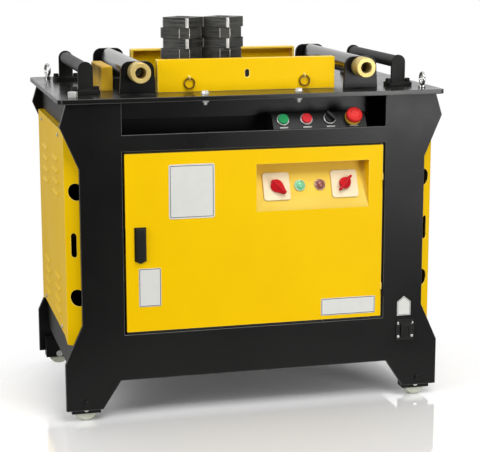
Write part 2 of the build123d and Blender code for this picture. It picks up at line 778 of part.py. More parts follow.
def make_latch_body():
    """Latch plate on the door."""
    front = DOOR_FACE_Y - LATCH_BASE_T
    body = prism([(x, front, z) for x, z in latch_outline(0)], (0, 1, 0), LATCH_BASE_T)
    return body - rod((LATCH_X, front, LATCH_SHAFT_Z), (0, 1, 0), LATCH_SHAFT_R + FREE_GAP, LATCH_BASE_T)


def make_latch_handle():
    """Turning handle, its shaft through the door and the cam that holds behind the front plate."""
    back = DOOR_FACE_Y - LATCH_BASE_T - FREE_GAP
    handle = prism([(x, back - HANDLE_T, z) for x, z in latch_outline(HANDLE_INSET)], (0, 1, 0), HANDLE_T)
    outer = handle.faces().sort_by(Axis.Y)[0]
    handle = chamfer(outer.edges(), HANDLE_T / 3)
    cam_front = -INNER_Y + CAM_GAP
    cam_back = cam_front + CAM_T
    handle += rod((LATCH_X, back, LATCH_SHAFT_Z), (0, 1, 0), LATCH_SHAFT_R, cam_back - back)
    half = CAM_WIDE / 2
    handle += block(
        LATCH_X - CAM_REACH, LATCH_X + half,
        cam_front, cam_back,
        LATCH_SHAFT_Z - half, LATCH_SHAFT_Z + half,
    )
    return handle


def console_frame(x):
    """Frame on the console's sloping face where a control stands: z looks out, y points up it."""
    rise = CONSOLE_HIGH - CONSOLE_LOW
    place = (x, -INNER_Y + CONTROL_SHARE * CONSOLE_LEAN, CONSOLE_LOW + CONTROL_SHARE * rise)
    return Plane(origin=place, x_dir=(1, 0, 0), z_dir=(0, -rise, CONSOLE_LEAN))


def make_console():
    """Folded console from the front plate's back to the slot's back wall, open below."""
    low = CONSOLE_LOW - CONSOLE_LIP
    front = -INNER_Y
    back = -DECK_BEAM_Y - SHEET_T
    wall = CONSOLE_T
    lean = atan2(CONSOLE_LEAN, CONSOLE_HIGH - CONSOLE_LOW)
    inset = wall / cos(lean)
    top_in = CONSOLE_HIGH - wall
    slope_in = front + inset + CONSOLE_LEAN * (top_in - CONSOLE_LOW) / (CONSOLE_HIGH - CONSOLE_LOW)
    outside = [
        (front, low),
        (front, CONSOLE_LOW),
        (front + CONSOLE_LEAN, CONSOLE_HIGH),
        (back, CONSOLE_HIGH),
        (back, low),
    ]
    inside = [
        (front + inset, low),
        (front + inset, CONSOLE_LOW),
        (slope_in, top_in),
        (back - wall, top_in),
        (back - wall, low),
    ]
    console = prism([(CONSOLE_X0, y, z) for y, z in outside], (1, 0, 0), CONSOLE_X1 - CONSOLE_X0)
    hollow = CONSOLE_X1 - CONSOLE_X0 - 2 * wall
    console -= prism([(CONSOLE_X0 + wall, y, z) for y, z in inside], (1, 0, 0), hollow)
    for x in CONTROL_X:
        console -= console_frame(x) * Cylinder(BUTTON_R + FREE_GAP, 4 * wall)
    return console


def make_bezels():
    """Bright rings round the two push buttons and the selector."""
    ring = extrude(Circle(BEZEL_R) - Circle(BUTTON_R + FREE_GAP), amount=BEZEL_T)
    outer = ring.edges().filter_by(GeomType.CIRCLE).sort_by(SortBy.RADIUS)[-2:]
    ring = chamfer(outer.sort_by(Axis.Z)[-1], BEZEL_T / 4)
    return [console_frame(x) * ring for x in CONTROL_X[:3]]


def make_push_button(x):
    """Push button that slides in its bezel, with a softened rim."""
    body = Pos(0, 0, -BUTTON_TAIL) * Cylinder(BUTTON_R, BUTTON_TAIL + BUTTON_PROUD, align=UPRIGHT)
    rim = body.edges().filter_by(GeomType.CIRCLE).sort_by(Axis.Z)[-1]
    return console_frame(x) * chamfer(rim, 1)


def make_selector():
    """Selector: a round body and a raised lever across it."""
    body = Pos(0, 0, -BUTTON_TAIL) * Cylinder(BUTTON_R, BUTTON_TAIL + BUTTON_PROUD, align=UPRIGHT)
    lever = SlotOverall(2 * LEVER_LONG, LEVER_WIDE, rotation=90)
    body += Pos(0, 0, BUTTON_PROUD) * extrude(lever, amount=LEVER_TALL)
    return console_frame(CONTROL_X[2]) * Rot(0, 0, SELECTOR_TURN) * body


def make_estop_ring():
    """Yellow collar under the emergency stop."""
    ring = extrude(Circle(ESTOP_RING_R) - Circle(ESTOP_STEM_R + FREE_GAP), amount=ESTOP_RING_T)
    return console_frame(CONTROL_X[3]) * ring


def make_estop_button():
    """Mushroom emergency stop with a dished top on a round stem."""
    top = ESTOP_LIFT + ESTOP_CAP
    profile = make_face([
        Line((0, -BUTTON_TAIL), (ESTOP_STEM_R, -BUTTON_TAIL)),
        Line((ESTOP_STEM_R, -BUTTON_TAIL), (ESTOP_STEM_R, ESTOP_LIFT)),
        Line((ESTOP_STEM_R, ESTOP_LIFT), (ESTOP_R, ESTOP_LIFT)),
        Line((ESTOP_R, ESTOP_LIFT), (ESTOP_R, ESTOP_LIFT + ESTOP_CAP / 2)),
        ThreePointArc(
            (ESTOP_R, ESTOP_LIFT + ESTOP_CAP / 2),
            (ESTOP_R - ESTOP_CAP / 6, top - ESTOP_CAP / 6),
            (ESTOP_DISH_R, top),
        ),
        Line((ESTOP_DISH_R, top), (ESTOP_DISH_R - 1, top - ESTOP_DISH)),
        Line((ESTOP_DISH_R - 1, top - ESTOP_DISH), (0, top - ESTOP_DISH)),
        Line((0, top - ESTOP_DISH), (0, -BUTTON_TAIL)),
    ])
    return console_frame(CONTROL_X[3]) * revolve(Plane.XZ * profile, axis=Axis.Z)


def make_inlet_socket():
    """Flanged socket: a cup through the front plate with contact pins at its bottom."""
    face = RectangleRounded(INLET_WIDE, INLET_TALL, INLET_CORNER)
    front = Plane(origin=(INLET_X, -FACE_Y, INLET_Z), x_dir=(1, 0, 0), z_dir=(0, -1, 0))
    socket = extrude(front * face, amount=INLET_T)
    bottom = -FACE_Y + CUP_DEEP
    socket += rod((INLET_X, -FACE_Y, INLET_Z), (0, 1, 0), CUP_R + CUP_WALL, CUP_DEEP)
    socket -= rod((INLET_X, -FACE_Y - INLET_T, INLET_Z), (0, 1, 0), CUP_R, CUP_DEEP + INLET_T - CUP_WALL)
    for place in PolarLocations(CONTACT_RING, CONTACTS):
        start = (INLET_X + place.position.X, bottom - CUP_WALL, INLET_Z + place.position.Y)
        socket += rod(start, (0, -1, 0), CONTACT_R, CONTACT_LONG)
    lug = block(
        INLET_X - COVER_WIDE / 2 - COVER_LUG, INLET_X + COVER_WIDE / 2 + COVER_LUG,
        -FACE_Y - INLET_T - COVER_T, -FACE_Y - INLET_T,
        COVER_HIGH + FREE_GAP, COVER_HIGH + FREE_GAP + COVER_LUG,
    )
    return socket + lug


def make_inlet_cover():
    """Spring flap over the socket, ribbed for the fingers, hinged along its top edge."""
    back = -FACE_Y - INLET_T - FREE_GAP
    front = back - COVER_T
    half = COVER_WIDE / 2
    cover = block(INLET_X - half, INLET_X + half, front, back, COVER_LOW, COVER_HIGH)
    step = COVER_WIDE / COVER_RIBS
    rib_top = COVER_HIGH - COVER_LUG
    for rib in range(COVER_RIBS):
        x = INLET_X - half + (rib + 0.5) * step
        cover += block(x - step / 4, x + step / 4, front - COVER_RIB, front, COVER_LOW, rib_top)
    return cover


def make_stop_beam():
    """Front stop beam: a channel with closed ends, open to the middle, with a slotted hole."""
    top = DECK_TOP + BEAM_TALL
    inner = -BEAM_Y + BEAM_DEEP
    beam = block(-BEAM_HALF, BEAM_HALF, -BEAM_Y, inner, DECK_TOP, top)
    beam -= block(
        -BEAM_HALF + BEAM_T, BEAM_HALF - BEAM_T,
        -BEAM_Y + BEAM_T, inner,
        DECK_TOP + BEAM_T, top - BEAM_T,
    )
    web = Plane(origin=(0, -BEAM_Y, BEAM_HOLE_Z), x_dir=(1, 0, 0), z_dir=(0, -1, 0))
    hole = SlotOverall(BEAM_HOLE_TALL, BEAM_HOLE_WIDE, rotation=90)
    return beam - extrude(web * hole, amount=-BEAM_T)


def make_front_beam():
    """Stop beam with the eyes that its two pull rings hang from."""
    beam = make_stop_beam()
    for x in (-PULL_X, PULL_X):
        left = x - EYE_T / 2
        eye_y = -BEAM_Y - EYE_OUT
        eye = rod((left, eye_y, PULL_Z), (1, 0, 0), EYE_R, EYE_T)
        eye += block(left, left + EYE_T, eye_y, -BEAM_Y, PULL_Z - EYE_R, PULL_Z + EYE_R)
        beam += eye - rod((left, eye_y, PULL_Z), (1, 0, 0), EYE_HOLE_R, EYE_T)
    return beam


def make_pull_ring(x):
    """Wire ring that hangs from its eye on the front beam."""
    middle = Pos(x, -BEAM_Y - EYE_OUT, PULL_Z - PULL_R)
    return middle * Rot(90, 0, 0) * Torus(PULL_R, PULL_WIRE_R)


def make_bracket(x):
    """Front roller bracket: a tapered plate with rounded top corners and the journal's bore."""
    top = ROLLER_Z + ROLLER_R
    outline = [
        (x - BRACKET_HALF, DECK_TOP),
        (x + BRACKET_HALF, DECK_TOP),
        (x + BRACKET_TOP_HALF, top),
        (x - BRACKET_TOP_HALF, top),
    ]
    bracket = prism([(px, -BRACKET_Y, pz) for px, pz in outline], (0, 1, 0), BRACKET_T)
    corners = bracket.edges().filter_by(Axis.Y).sort_by(Axis.Z)[-2:]
    bracket = fillet(corners, BRACKET_CORNER)
    return bracket - rod((x, -BRACKET_Y, ROLLER_Z), (0, 1, 0), JOURNAL_R + RUN_GAP, BRACKET_T)


def make_bushes():
    """Bushes on the brackets' outer faces, long at the front and short at the rear."""
    ring = Circle(ROLLER_R) - Circle(BUSH_BORE_R)
    bushes = []
    for x in (LEFT_ROLLER_X, RIGHT_ROLLER_X):
        front = Plane(origin=(x, -BRACKET_Y, ROLLER_Z), z_dir=(0, -1, 0))
        rear = Plane(origin=(x, BRACKET_Y, ROLLER_Z), z_dir=(0, 1, 0))
        for frame, length in ((front, BUSH_FRONT), (rear, BUSH_REAR)):
            bush = extrude(ring, amount=length)
            outer = bush.edges().filter_by(GeomType.CIRCLE).sort_by(Axis.Z)[-2:]
            bushes.append(frame * chamfer(outer, 1.5))
    return bushes


def make_roller(x):
    """Support roller with a journal at each end."""
    reach = BRACKET_Y - BRACKET_T - FREE_GAP
    roller = rod((x, -reach, ROLLER_Z), (0, 1, 0), ROLLER_R, 2 * reach)
    roller = chamfer(roller.edges().filter_by(GeomType.CIRCLE), 1)
    journal = BRACKET_Y
    return roller + rod((x, -journal, ROLLER_Z), (0, 1, 0), JOURNAL_R, 2 * journal)


def make_rail_post():
    """Front left hand rail post: a round-topped plate on a bolted foot."""
    half = RAIL_POST_WIDE / 2
    centre = RAIL_POST_TOP - half
    post = block(
        -RAIL_POST_X - half, -RAIL_POST_X + half,
        -RAIL_POST_Y, -RAIL_POST_Y + RAIL_POST_T,
        DECK_TOP, centre,
    )
    post += rod((-RAIL_POST_X, -RAIL_POST_Y, centre), (0, 1, 0), half, RAIL_POST_T)
    foot_y = -RAIL_POST_Y + RAIL_POST_T / 2
    foot = Pos(-RAIL_POST_X, foot_y, DECK_TOP) * extrude(
        RectangleRounded(RAIL_FOOT_WIDE, RAIL_FOOT_DEEP, RAIL_FOOT_T), amount=RAIL_FOOT_T
    )
    return post + foot


def make_rail_bar():
    """Left hand rail bar between its two posts."""
    inner = RAIL_POST_Y - RAIL_POST_T
    centre = RAIL_POST_TOP - RAIL_POST_WIDE / 2
    return rod((-RAIL_POST_X, -inner, centre), (0, 1, 0), RAIL_BAR_R, 2 * inner)


def make_guide_block():
    """Upright guide bar beside the left roller, its upper edges eased."""
    guide = block(GUIDE_X0, GUIDE_X1, GUIDE_Y0, GUIDE_Y1, DECK_TOP, DECK_TOP + GUIDE_TALL)
    upper = guide.faces().sort_by(Axis.Z)[-1]
    return chamfer(upper.edges(), GUIDE_EDGE)


def make_eye_bolt(x, y, turn):
    """Lifting eye: a ring on a collar."""
    bolt = Cylinder(EYE_COLLAR_R, EYE_COLLAR_T, align=UPRIGHT)
    lift = EYE_COLLAR_T + EYE_BOLT_R + EYE_BOLT_WIRE / 2
    bolt += Pos(0, 0, lift) * Rot(0, 90, 0) * Torus(EYE_BOLT_R, EYE_BOLT_WIRE)
    return Pos(x, y, DECK_TOP) * Rot(0, 0, turn) * bolt


def make_deck_bolts():
    """Hex bolts in the deck: two large at corners, and four small with nuts below it."""
    large = RegularPolygon(HEX_FLATS / 2, 6, major_radius=False)
    small = RegularPolygon(BEAM_BOLT_FLATS / 2, 6, major_radius=False)
    bolts = []
    for x, y in corner_bolt_places():
        head = Pos(x, y, DECK_TOP) * extrude(large, amount=HEX_TALL)
        bolts.append(head + rod((x, y, DECK_TOP), (0, 0, -1), BOLT_R, DECK_T))
    for x, y in beam_bolt_places():
        head = Pos(x, y, DECK_TOP) * extrude(small, amount=BEAM_BOLT_TALL)
        nut = Pos(x, y, DECK_UNDER - NUT_TALL) * extrude(small, amount=NUT_TALL)
        bolts.append(head + nut + rod((x, y, DECK_TOP), (0, 0, -1), BEAM_BOLT_R, DECK_T + BEAM_BOLT_BELOW))
    return bolts


def make_disc():
    """Work disc with a pin hole at its middle and a ring of eight around it."""
    top = DECK_TOP + DISC_RAISE
    disc = rod((DISC_X, 0, top - DISC_T), (0, 0, 1), DISC_R, DISC_T)
    places = [(0, 0)]
    for spot in range(DISC_HOLES):
        angle = radians(360 * spot / DISC_HOLES)
        places.append((DIE_PITCH * cos(angle), DIE_PITCH * sin(angle)))
    for x, y in places:
        disc -= rod((DISC_X + x, y, top - DISC_T), (0, 0, 1), DIE_PIN_R + RUN_GAP, DISC_T)
    return disc


def make_spindle():
    """Spindle from the reducer up to the disc."""
    low = DECK_UNDER - DECK_BEAM_SIDE - SPINDLE_SINK
    return rod((DISC_X, 0, low), (0, 0, 1), SPINDLE_R, DECK_TOP + DISC_RAISE - DISC_T - low)


def make_die_pin(x):
    """Pin that holds a die stack on the disc."""
    low = DECK_TOP + DISC_RAISE - DIE_PIN_SINK
    above = DIE_SEAT_T + DIE_LAYERS * DIE_T - DIE_PIN_DROP
    return rod((x, 0, low), (0, 0, 1), DIE_PIN_R, DIE_PIN_SINK + above)


def make_die_stack(x):
    """Square dies set corner to corner on their pin over a seat ring, every second one wide and turned."""
    bore = Circle(DIE_PIN_R + RUN_GAP)
    seat = DECK_TOP + DISC_RAISE
    dies = [Pos(x, 0, seat) * extrude(Circle(DIE_SEAT_R) - bore, amount=DIE_SEAT_T)]
    for layer in range(DIE_LAYERS):
        wide = layer % 2 == 0
        side = WIDE_DIE_SIDE if wide else DIE_SIDE
        square = Rectangle(side, side, rotation=45)
        if wide:
            square = chamfer(square.vertices().sort_by(Axis.X)[:1], WIDE_DIE_NOSE)
            square = chamfer(square.vertices().sort_by(Axis.X)[2:], WIDE_DIE_CHAMFER)
            square = Rot(0, 0, WIDE_DIE_TURN) * Pos(-WIDE_DIE_OFFSET, 0, 0) * square
        else:
            square = chamfer(square.vertices(), DIE_CHAMFER)
        low = seat + DIE_SEAT_T + layer * DIE_T
        dies.append(Pos(x, 0, low) * extrude(square - bore, amount=DIE_T))
    return dies


def make_reducer():
    """Worm reducer: housing, hanger plate under the deck beams, spindle seat and input seat."""
    hang = DECK_UNDER - DECK_BEAM_SIDE
    top = hang - HANGER_T
    body = block(REDUCER_X0, REDUCER_X1, -REDUCER_HALF_Y, REDUCER_HALF_Y, top - REDUCER_TALL, top)
    body = fillet(body.edges().filter_by(Axis.Z), REDUCER_EDGE)
    body += block(
        REDUCER_X0 - HANGER_OVER, REDUCER_X1 + HANGER_OVER,
        -DECK_BEAM_Y, DECK_BEAM_Y,
        top, hang,
    )
    body += rod((REDUCER_X1, 0, INPUT_Z), (1, 0, 0), 3 * INPUT_R, HANGER_T)
    body -= rod((DISC_X, 0, hang - SPINDLE_SINK), (0, 0, 1), SPINDLE_R + RUN_GAP, SPINDLE_SINK)
    sink = REDUCER_X1 - SHAFT_SINK
    return body - rod((sink, 0, INPUT_Z), (1, 0, 0), INPUT_R + RUN_GAP, SHAFT_SINK + HANGER_T)


def make_spindle_bearing():
    """Flanged bearing housing on the reducer's hanger plate."""
    foot = (DISC_X, 0, DECK_UNDER - DECK_BEAM_SIDE)
    housing = rod(foot, (0, 0, 1), BEARING_R, BEARING_T / 3)
    housing += rod(foot, (0, 0, 1), BEARING_STEP_R, BEARING_T)
    return housing - rod(foot, (0, 0, 1), SPINDLE_R + RUN_GAP, BEARING_T)


def make_motor():
    """Finned motor on its foot, with the shaft's seat."""
    motor = rod((MOTOR_X0, 0, MOTOR_Z), (1, 0, 0), MOTOR_R, MOTOR_X1 - MOTOR_X0)
    motor = chamfer(motor.edges().filter_by(GeomType.CIRCLE), FIN_TALL)
    fin_x0 = MOTOR_X0 + 3 * FIN_TALL
    fin_x1 = MOTOR_X1 - 3 * FIN_TALL
    fin = block(fin_x0, fin_x1, -FIN_T / 2, FIN_T / 2, MOTOR_R - FIN_T, MOTOR_R + FIN_TALL)
    for spot in range(FIN_COUNT):
        motor += Pos(0, 0, MOTOR_Z) * Rot(360 * (spot + 0.5) / FIN_COUNT, 0, 0) * fin
    floor = ARCH_Z + PAN_T
    motor += block(fin_x0, fin_x1, -MOTOR_FOOT_HALF, MOTOR_FOOT_HALF, floor, floor + MOTOR_FOOT_T)
    motor += block(fin_x0, fin_x1, -MOTOR_FOOT_HALF / 2, MOTOR_FOOT_HALF / 2, floor, MOTOR_Z - MOTOR_R / 2)
    return motor - rod((MOTOR_X1, 0, MOTOR_Z), (-1, 0, 0), MOTOR_SHAFT_R + RUN_GAP, SHAFT_SINK)


def groove_places():
    """Where the belts run across the pulleys' width."""
    return [BELT_X + (belt - (BELT_COUNT - 1) / 2) * BELT_PITCH for belt in range(BELT_COUNT)]


def make_pulley(z, radius, shaft_radius, shaft_start):
    """Grooved belt pulley with the shaft that it turns on."""
    half = BELT_COUNT * BELT_PITCH / 2 + PULLEY_RIM / 2
    pulley = rod((BELT_X - half, 0, z), (1, 0, 0), radius, 2 * half)
    wide = BELT_WIDE + 2 * BELT_GAP
    for x in groove_places():
        groove = rod((x - wide / 2, 0, z), (1, 0, 0), radius, wide)
        groove -= rod((x - wide / 2, 0, z), (1, 0, 0), radius - BELT_T - BELT_GAP, wide)
        pulley -= groove
    return pulley + rod((shaft_start, 0, z), (1, 0, 0), shaft_radius, BELT_X + half - shaft_start)


def make_belts():
    """Belts around the two pulleys."""
    def loop(inset):
        big = Pos(0, INPUT_Z) * Circle(BIG_PULLEY_R - inset)
        small = Pos(0, MOTOR_Z) * Circle(SMALL_PULLEY_R - inset)
        return make_hull(big.edges() + small.edges())

    band = loop(0) - loop(BELT_T)
    return [extrude(Plane.YZ.offset(x - BELT_WIDE / 2) * band, amount=BELT_WIDE) for x in groove_places()]


def make_electrical_box():
    """Control gear box on the base pan, a sheet case that is open towards the side panel."""
    floor = ARCH_Z + PAN_T
    box = block(BOX_X0, BOX_X1, -BOX_HALF_Y, BOX_HALF_Y, floor, floor + BOX_TALL)
    box = chamfer(box.edges().filter_by(Axis.Z), BOX_EDGE)
    wall = 2 * SHEET_T
    return box - block(
        BOX_X0, BOX_X1 - wall,
        -BOX_HALF_Y + BOX_EDGE + wall, BOX_HALF_Y - BOX_EDGE - wall,
        floor + wall, floor + BOX_TALL - wall,
    )


def wheel_y():
    """Middle of the front wheels, between their forks' cheeks."""
    return -INNER_Y + FORK_T + FORK_SIDE_GAP + WHEEL_WIDE / 2


def make_wheel():
    """Front left wheel: a nylon tread with eased edges and a plain bore."""
    start = (-WHEEL_X, wheel_y() - WHEEL_WIDE / 2, WHEEL_R)
    wheel = rod(start, (0, 1, 0), WHEEL_R, WHEEL_WIDE)
    wheel = fillet(wheel.edges().filter_by(GeomType.CIRCLE), WHEEL_EDGE)
    return wheel - rod(start, (0, 1, 0), AXLE_R + RUN_GAP, WHEEL_WIDE)


def make_fork():
    """Front left wheel fork behind the front plate: a box open below."""
    inner = -INNER_Y + 2 * (FORK_T + FORK_SIDE_GAP) + WHEEL_WIDE
    x0 = -WHEEL_X - FORK_HALF
    x1 = -WHEEL_X + FORK_HALF
    fork = block(x0, x1, -INNER_Y, inner, FORK_LOW, FORK_HIGH)
    fork -= block(
        x0 + FORK_T, x1 - FORK_T,
        -INNER_Y + FORK_T, inner - FORK_T,
        FORK_LOW, FORK_HIGH - FORK_T,
    )
    return fork - rod((-WHEEL_X, -INNER_Y, WHEEL_R), (0, 1, 0), AXLE_R + RUN_GAP, inner + INNER_Y)


def make_axle():
    """Front left wheel axle with its head inside the fork."""
    inner = -INNER_Y + 2 * (FORK_T + FORK_SIDE_GAP) + WHEEL_WIDE
    axle = rod((-WHEEL_X, -INNER_Y, WHEEL_R), (0, 1, 0), AXLE_R, inner + INNER_Y)
    return axle + rod((-WHEEL_X, inner, WHEEL_R), (0, 1, 0), AXLE_HEAD_R, AXLE_HEAD_T)


os.makedirs("parts", exist_ok=True)

# Cabinet
front_plate = make_front_plate()
side_panel = make_side_panel()
save("deck_plate", make_deck())
save("front_plate", front_plate)
save("rear_plate", flip_y(make_end_plate()))
save("rear_panel", make_rear_panel())
save("side_rails", *make_side_rails())
save("corner_posts", *make_corner_posts())
save("right_side_panel", side_panel)
save("left_side_panel", flip_x(side_panel))
save("base_pan", make_base_pan())
save("deck_beams", *make_deck_beams())
save("slot_wall", make_slot_wall())
save("hinge_pins", *make_hinge_pins())
save("inlet_socket", make_inlet_socket())
save("inlet_cover", make_inlet_cover())

# Door and its switches
save("door", make_door())
save("latch_body", make_latch_body())
save("latch_handle", make_latch_handle())
save("switch_plates", *make_switch_plates())
save("green_lamp", make_lamp(LAMP_X[0]))
save("red_lamp", make_lamp(LAMP_X[1]))
save("left_switch_knob", make_pointer_knob(SWITCH_X[0], LEFT_KNOB_TURN))
save("right_switch_knob", make_bar_knob(SWITCH_X[1], RIGHT_KNOB_TURN))

# Console and its controls
save("control_console", make_console())
save("button_bezels", *make_bezels())
save("green_button", make_push_button(CONTROL_X[0]))
save("red_button", make_push_button(CONTROL_X[1]))
save("selector_knob", make_selector())
save("estop_ring", make_estop_ring())
save("estop_button", make_estop_button())

# On the deck
rail_bar = make_rail_bar()
brackets = [make_bracket(x) for x in (LEFT_ROLLER_X, RIGHT_ROLLER_X)]
save("front_beam", make_front_beam())
save("rear_beam", flip_y(make_stop_beam()))
save("left_pull_ring", make_pull_ring(-PULL_X))
save("right_pull_ring", make_pull_ring(PULL_X))
save("roller_brackets", *brackets, *[flip_y(one) for one in brackets])
save("roller_bushes", *make_bushes())
save("left_roller", make_roller(LEFT_ROLLER_X))
save("right_roller", make_roller(RIGHT_ROLLER_X))
save("rail_posts", *four_corners(make_rail_post()))
save("rail_bars", rail_bar, flip_x(rail_bar))
save("guide_block", make_guide_block())
right_eye = make_eye_bolt(CORNER_X, -CORNER_Y, RIGHT_EYE_TURN)
save("eye_bolts", right_eye, make_eye_bolt(-CORNER_X, CORNER_Y, LEFT_EYE_TURN))
save("deck_bolts", *make_deck_bolts())

# Work disc and dies
save("work_disc", make_disc())
save("spindle_shaft", make_spindle())
save("die_pins", make_die_pin(DISC_X), make_die_pin(DISC_X - DIE_PITCH))
save("center_dies", *make_die_stack(DISC_X))
save("bending_dies", *make_die_stack(DISC_X - DIE_PITCH))

# Drive
save("gear_reducer", make_reducer())
save("spindle_bearing", make_spindle_bearing())
save("motor", make_motor())
save("reducer_pulley", make_pulley(INPUT_Z, BIG_PULLEY_R, INPUT_R, REDUCER_X1 - SHAFT_SINK))
save("motor_pulley", make_pulley(MOTOR_Z, SMALL_PULLEY_R, MOTOR_SHAFT_R, MOTOR_X1 - SHAFT_SINK))
save("drive_belts", *make_belts())
save("electrical_box", make_electrical_box())

# Wheels
wheel = make_wheel()
save("wheel_forks", *four_corners(make_fork()))
save("wheel_axles", *four_corners(make_axle()))
save("front_left_wheel", wheel)
save("front_right_wheel", flip_x(wheel))
save("rear_left_wheel", flip_y(wheel))
save("rear_right_wheel", flip_x(flip_y(wheel)))
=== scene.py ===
# %% [markdown]
# # A rebar bending machine, dressed for a studio picture
#
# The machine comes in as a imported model: every steel piece already has its true size and place.
# This lesson gives those pieces their looks. It eases their edges, paints them with procedural
# finishes, adds the small things that a model of the structure leaves out, and lights the whole.

# %% Load the fixed frame
import json
import math

import bmesh
import bpy
from mathutils import Matrix, Vector


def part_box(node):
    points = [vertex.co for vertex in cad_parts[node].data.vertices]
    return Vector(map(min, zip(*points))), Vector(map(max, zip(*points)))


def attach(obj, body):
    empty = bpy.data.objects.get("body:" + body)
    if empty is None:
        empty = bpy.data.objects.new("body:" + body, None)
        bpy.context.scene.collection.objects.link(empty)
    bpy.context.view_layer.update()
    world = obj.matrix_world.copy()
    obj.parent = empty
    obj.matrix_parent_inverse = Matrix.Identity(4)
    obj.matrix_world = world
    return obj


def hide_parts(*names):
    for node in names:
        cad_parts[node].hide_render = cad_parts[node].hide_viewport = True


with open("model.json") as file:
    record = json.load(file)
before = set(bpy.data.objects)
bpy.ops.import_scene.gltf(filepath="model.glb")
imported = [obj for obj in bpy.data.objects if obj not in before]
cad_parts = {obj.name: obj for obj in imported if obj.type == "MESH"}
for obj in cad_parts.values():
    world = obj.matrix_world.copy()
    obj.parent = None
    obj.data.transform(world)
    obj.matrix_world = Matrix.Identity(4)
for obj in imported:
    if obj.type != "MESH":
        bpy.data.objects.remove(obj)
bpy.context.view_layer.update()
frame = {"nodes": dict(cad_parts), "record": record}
nodes = frame["nodes"]
MM = 0.001

# %% [markdown]
# ## Camera
#
# The picture was taken with a long lens from the left of the machine, a little above the deck.
# A long lens keeps the plates' upright edges nearly parallel, so the camera stands almost four
# metres away. Its place is set in metres and its turn in degrees, and nothing else has to change.

# %% Camera at the picture's viewing angle
CAMERA_PLACE = (-0.9428, -3.8345, 1.2137)
CAMERA_YAW = 14.25
CAMERA_PITCH = 11.24
CAMERA_ROLL = -0.09
CAMERA_LENS = 110.03
CAMERA_SENSOR = 36.0

camera_data = bpy.data.cameras.new("camera")
camera_data.sensor_fit = "HORIZONTAL"
camera_data.sensor_width = CAMERA_SENSOR
camera_data.lens = CAMERA_LENS
camera = bpy.data.objects.new("camera", camera_data)
camera.rotation_mode = "XYZ"
camera.location = CAMERA_PLACE
turn = Matrix.Rotation(math.radians(-CAMERA_YAW), 4, "Z")
tip = Matrix.Rotation(math.radians(90 - CAMERA_PITCH), 4, "X")
lean = Matrix.Rotation(math.radians(CAMERA_ROLL), 4, "Z")
camera.rotation_euler = (turn @ tip @ lean).to_euler("XYZ")
bpy.context.scene.collection.objects.link(camera)
bpy.context.scene.camera = camera
bpy.context.scene.view_settings.view_transform = "Standard"
print("camera", CAMERA_PLACE, CAMERA_LENS)

# %% [markdown]
# ## Helpers for node trees
#
# Floor, world, finishes and fasteners are all built from nodes, so a few short functions come first. A
# socket is either linked to another socket or set to a value, and one call adds a node and fills its
# sockets by name. A space in a socket's name is written as an underscore.

# %% Add nodes, sums and mixes


def fill(tree, socket, value):
    """Link a socket to another one, or set it to a value."""
    if isinstance(value, bpy.types.NodeSocket):
        tree.links.new(value, socket)
    else:
        socket.default_value = value


def add_node(tree, kind, **values):
    """A node whose sockets are filled, and whose properties are set, by name."""
    node = tree.nodes.new(kind)
    for label, value in values.items():
        words = label.replace("_", " ")
        if words in node.inputs:
            fill(tree, node.inputs[words], value)
        else:
            setattr(node, label, value)
    return node


def add_math(tree, operation, *values):
    """A math node on sockets or numbers; its one output."""
    node = add_node(tree, "ShaderNodeMath", operation=operation)
    for socket, value in zip(node.inputs, values):
        fill(tree, socket, value)
    return node.outputs["Value"]


def map_range(tree, value, **limits):
    """A value mapped from one range to another, by default to 0 to 1; its one output."""
    return add_node(tree, "ShaderNodeMapRange", Value=value, **limits).outputs["Result"]


def mix_shaders(tree, share, first, second):
    """Two shaders mixed by the share of the second; its one output."""
    node = add_node(tree, "ShaderNodeMixShader", Fac=share)
    fill(tree, node.inputs[1], first)
    fill(tree, node.inputs[2], second)
    return node.outputs["Shader"]


def surface_place(tree):
    """The point of the surface in the piece's own coordinates."""
    return add_node(tree, "ShaderNodeTexCoord").outputs["Object"]


def seen_rays(tree):
    """Whether a ray comes from the camera, and whether it is a camera, glossy or transmission ray."""
    path = add_node(tree, "ShaderNodeLightPath").outputs
    seen = add_math(tree, "MAXIMUM", path["Is Camera Ray"], path["Is Glossy Ray"])
    return path["Is Camera Ray"], add_math(tree, "MAXIMUM", seen, path["Is Transmission Ray"])


# %% [markdown]
# ## Floor and light
#
# A catalogue picture stands the machine on a polished white floor. The floor here is a wide disc that
# takes the soft shadow under the machine, mirrors its front when it is seen at a slant, and fades to the
# white of the world further out. The camera always sees a white world. Reflections see it too, but
# dimmer towards the camera, as a studio is, so that black paint stays black and turned steel gets a dark
# side. Most of the light comes from a lamp high in front, which leaves the slot under the deck in shadow.
# A low lamp at the right puts the sheen on the black plate, and a soft one fills the left side.

# %% Floor, world and lamps
WHITE = (1, 1, 1, 1)
FLOOR_REACH = 6.0
FLOOR_SEGMENTS = 96
FLOOR_FADE_CENTRE = (0.0, -0.35, 0.0)
FLOOR_FADE_START = 0.4
FLOOR_FADE_END = 0.98
FLOOR_WHITE = 0.95
FLOOR_BOUNCE = 0.35
FLOOR_MIRROR = 0.58
FLOOR_BLUR = 0.06
FLOOR_MATT_Y = -0.22
FLOOR_POLISH_Y = -0.33
WORLD_FRONT = 0.2
WORLD_FRONT_Y = -0.8
WORLD_BACK = 1.0
WORLD_BACK_Y = 0.4
WORLD_UNDER = 0.2
WORLD_UNDER_SEEN = 0.45
WORLD_UNDER_Z = -0.12
LAMPS = {
    "lamp_top": {"place": (0.4, -2.2, 3.4), "target": (0, -0.1, 0.5), "size": 2.0, "power": 87.0},
    "lamp_right": {"place": (1.7, -3.3, 0.6), "target": (0.3, -0.3, 0.6), "size": 1.2, "power": 48.0},
    "lamp_left": {"place": (-3.0, -1.6, 1.5), "target": (-0.4, 0, 0.5), "size": 1.6, "power": 40.0},
}


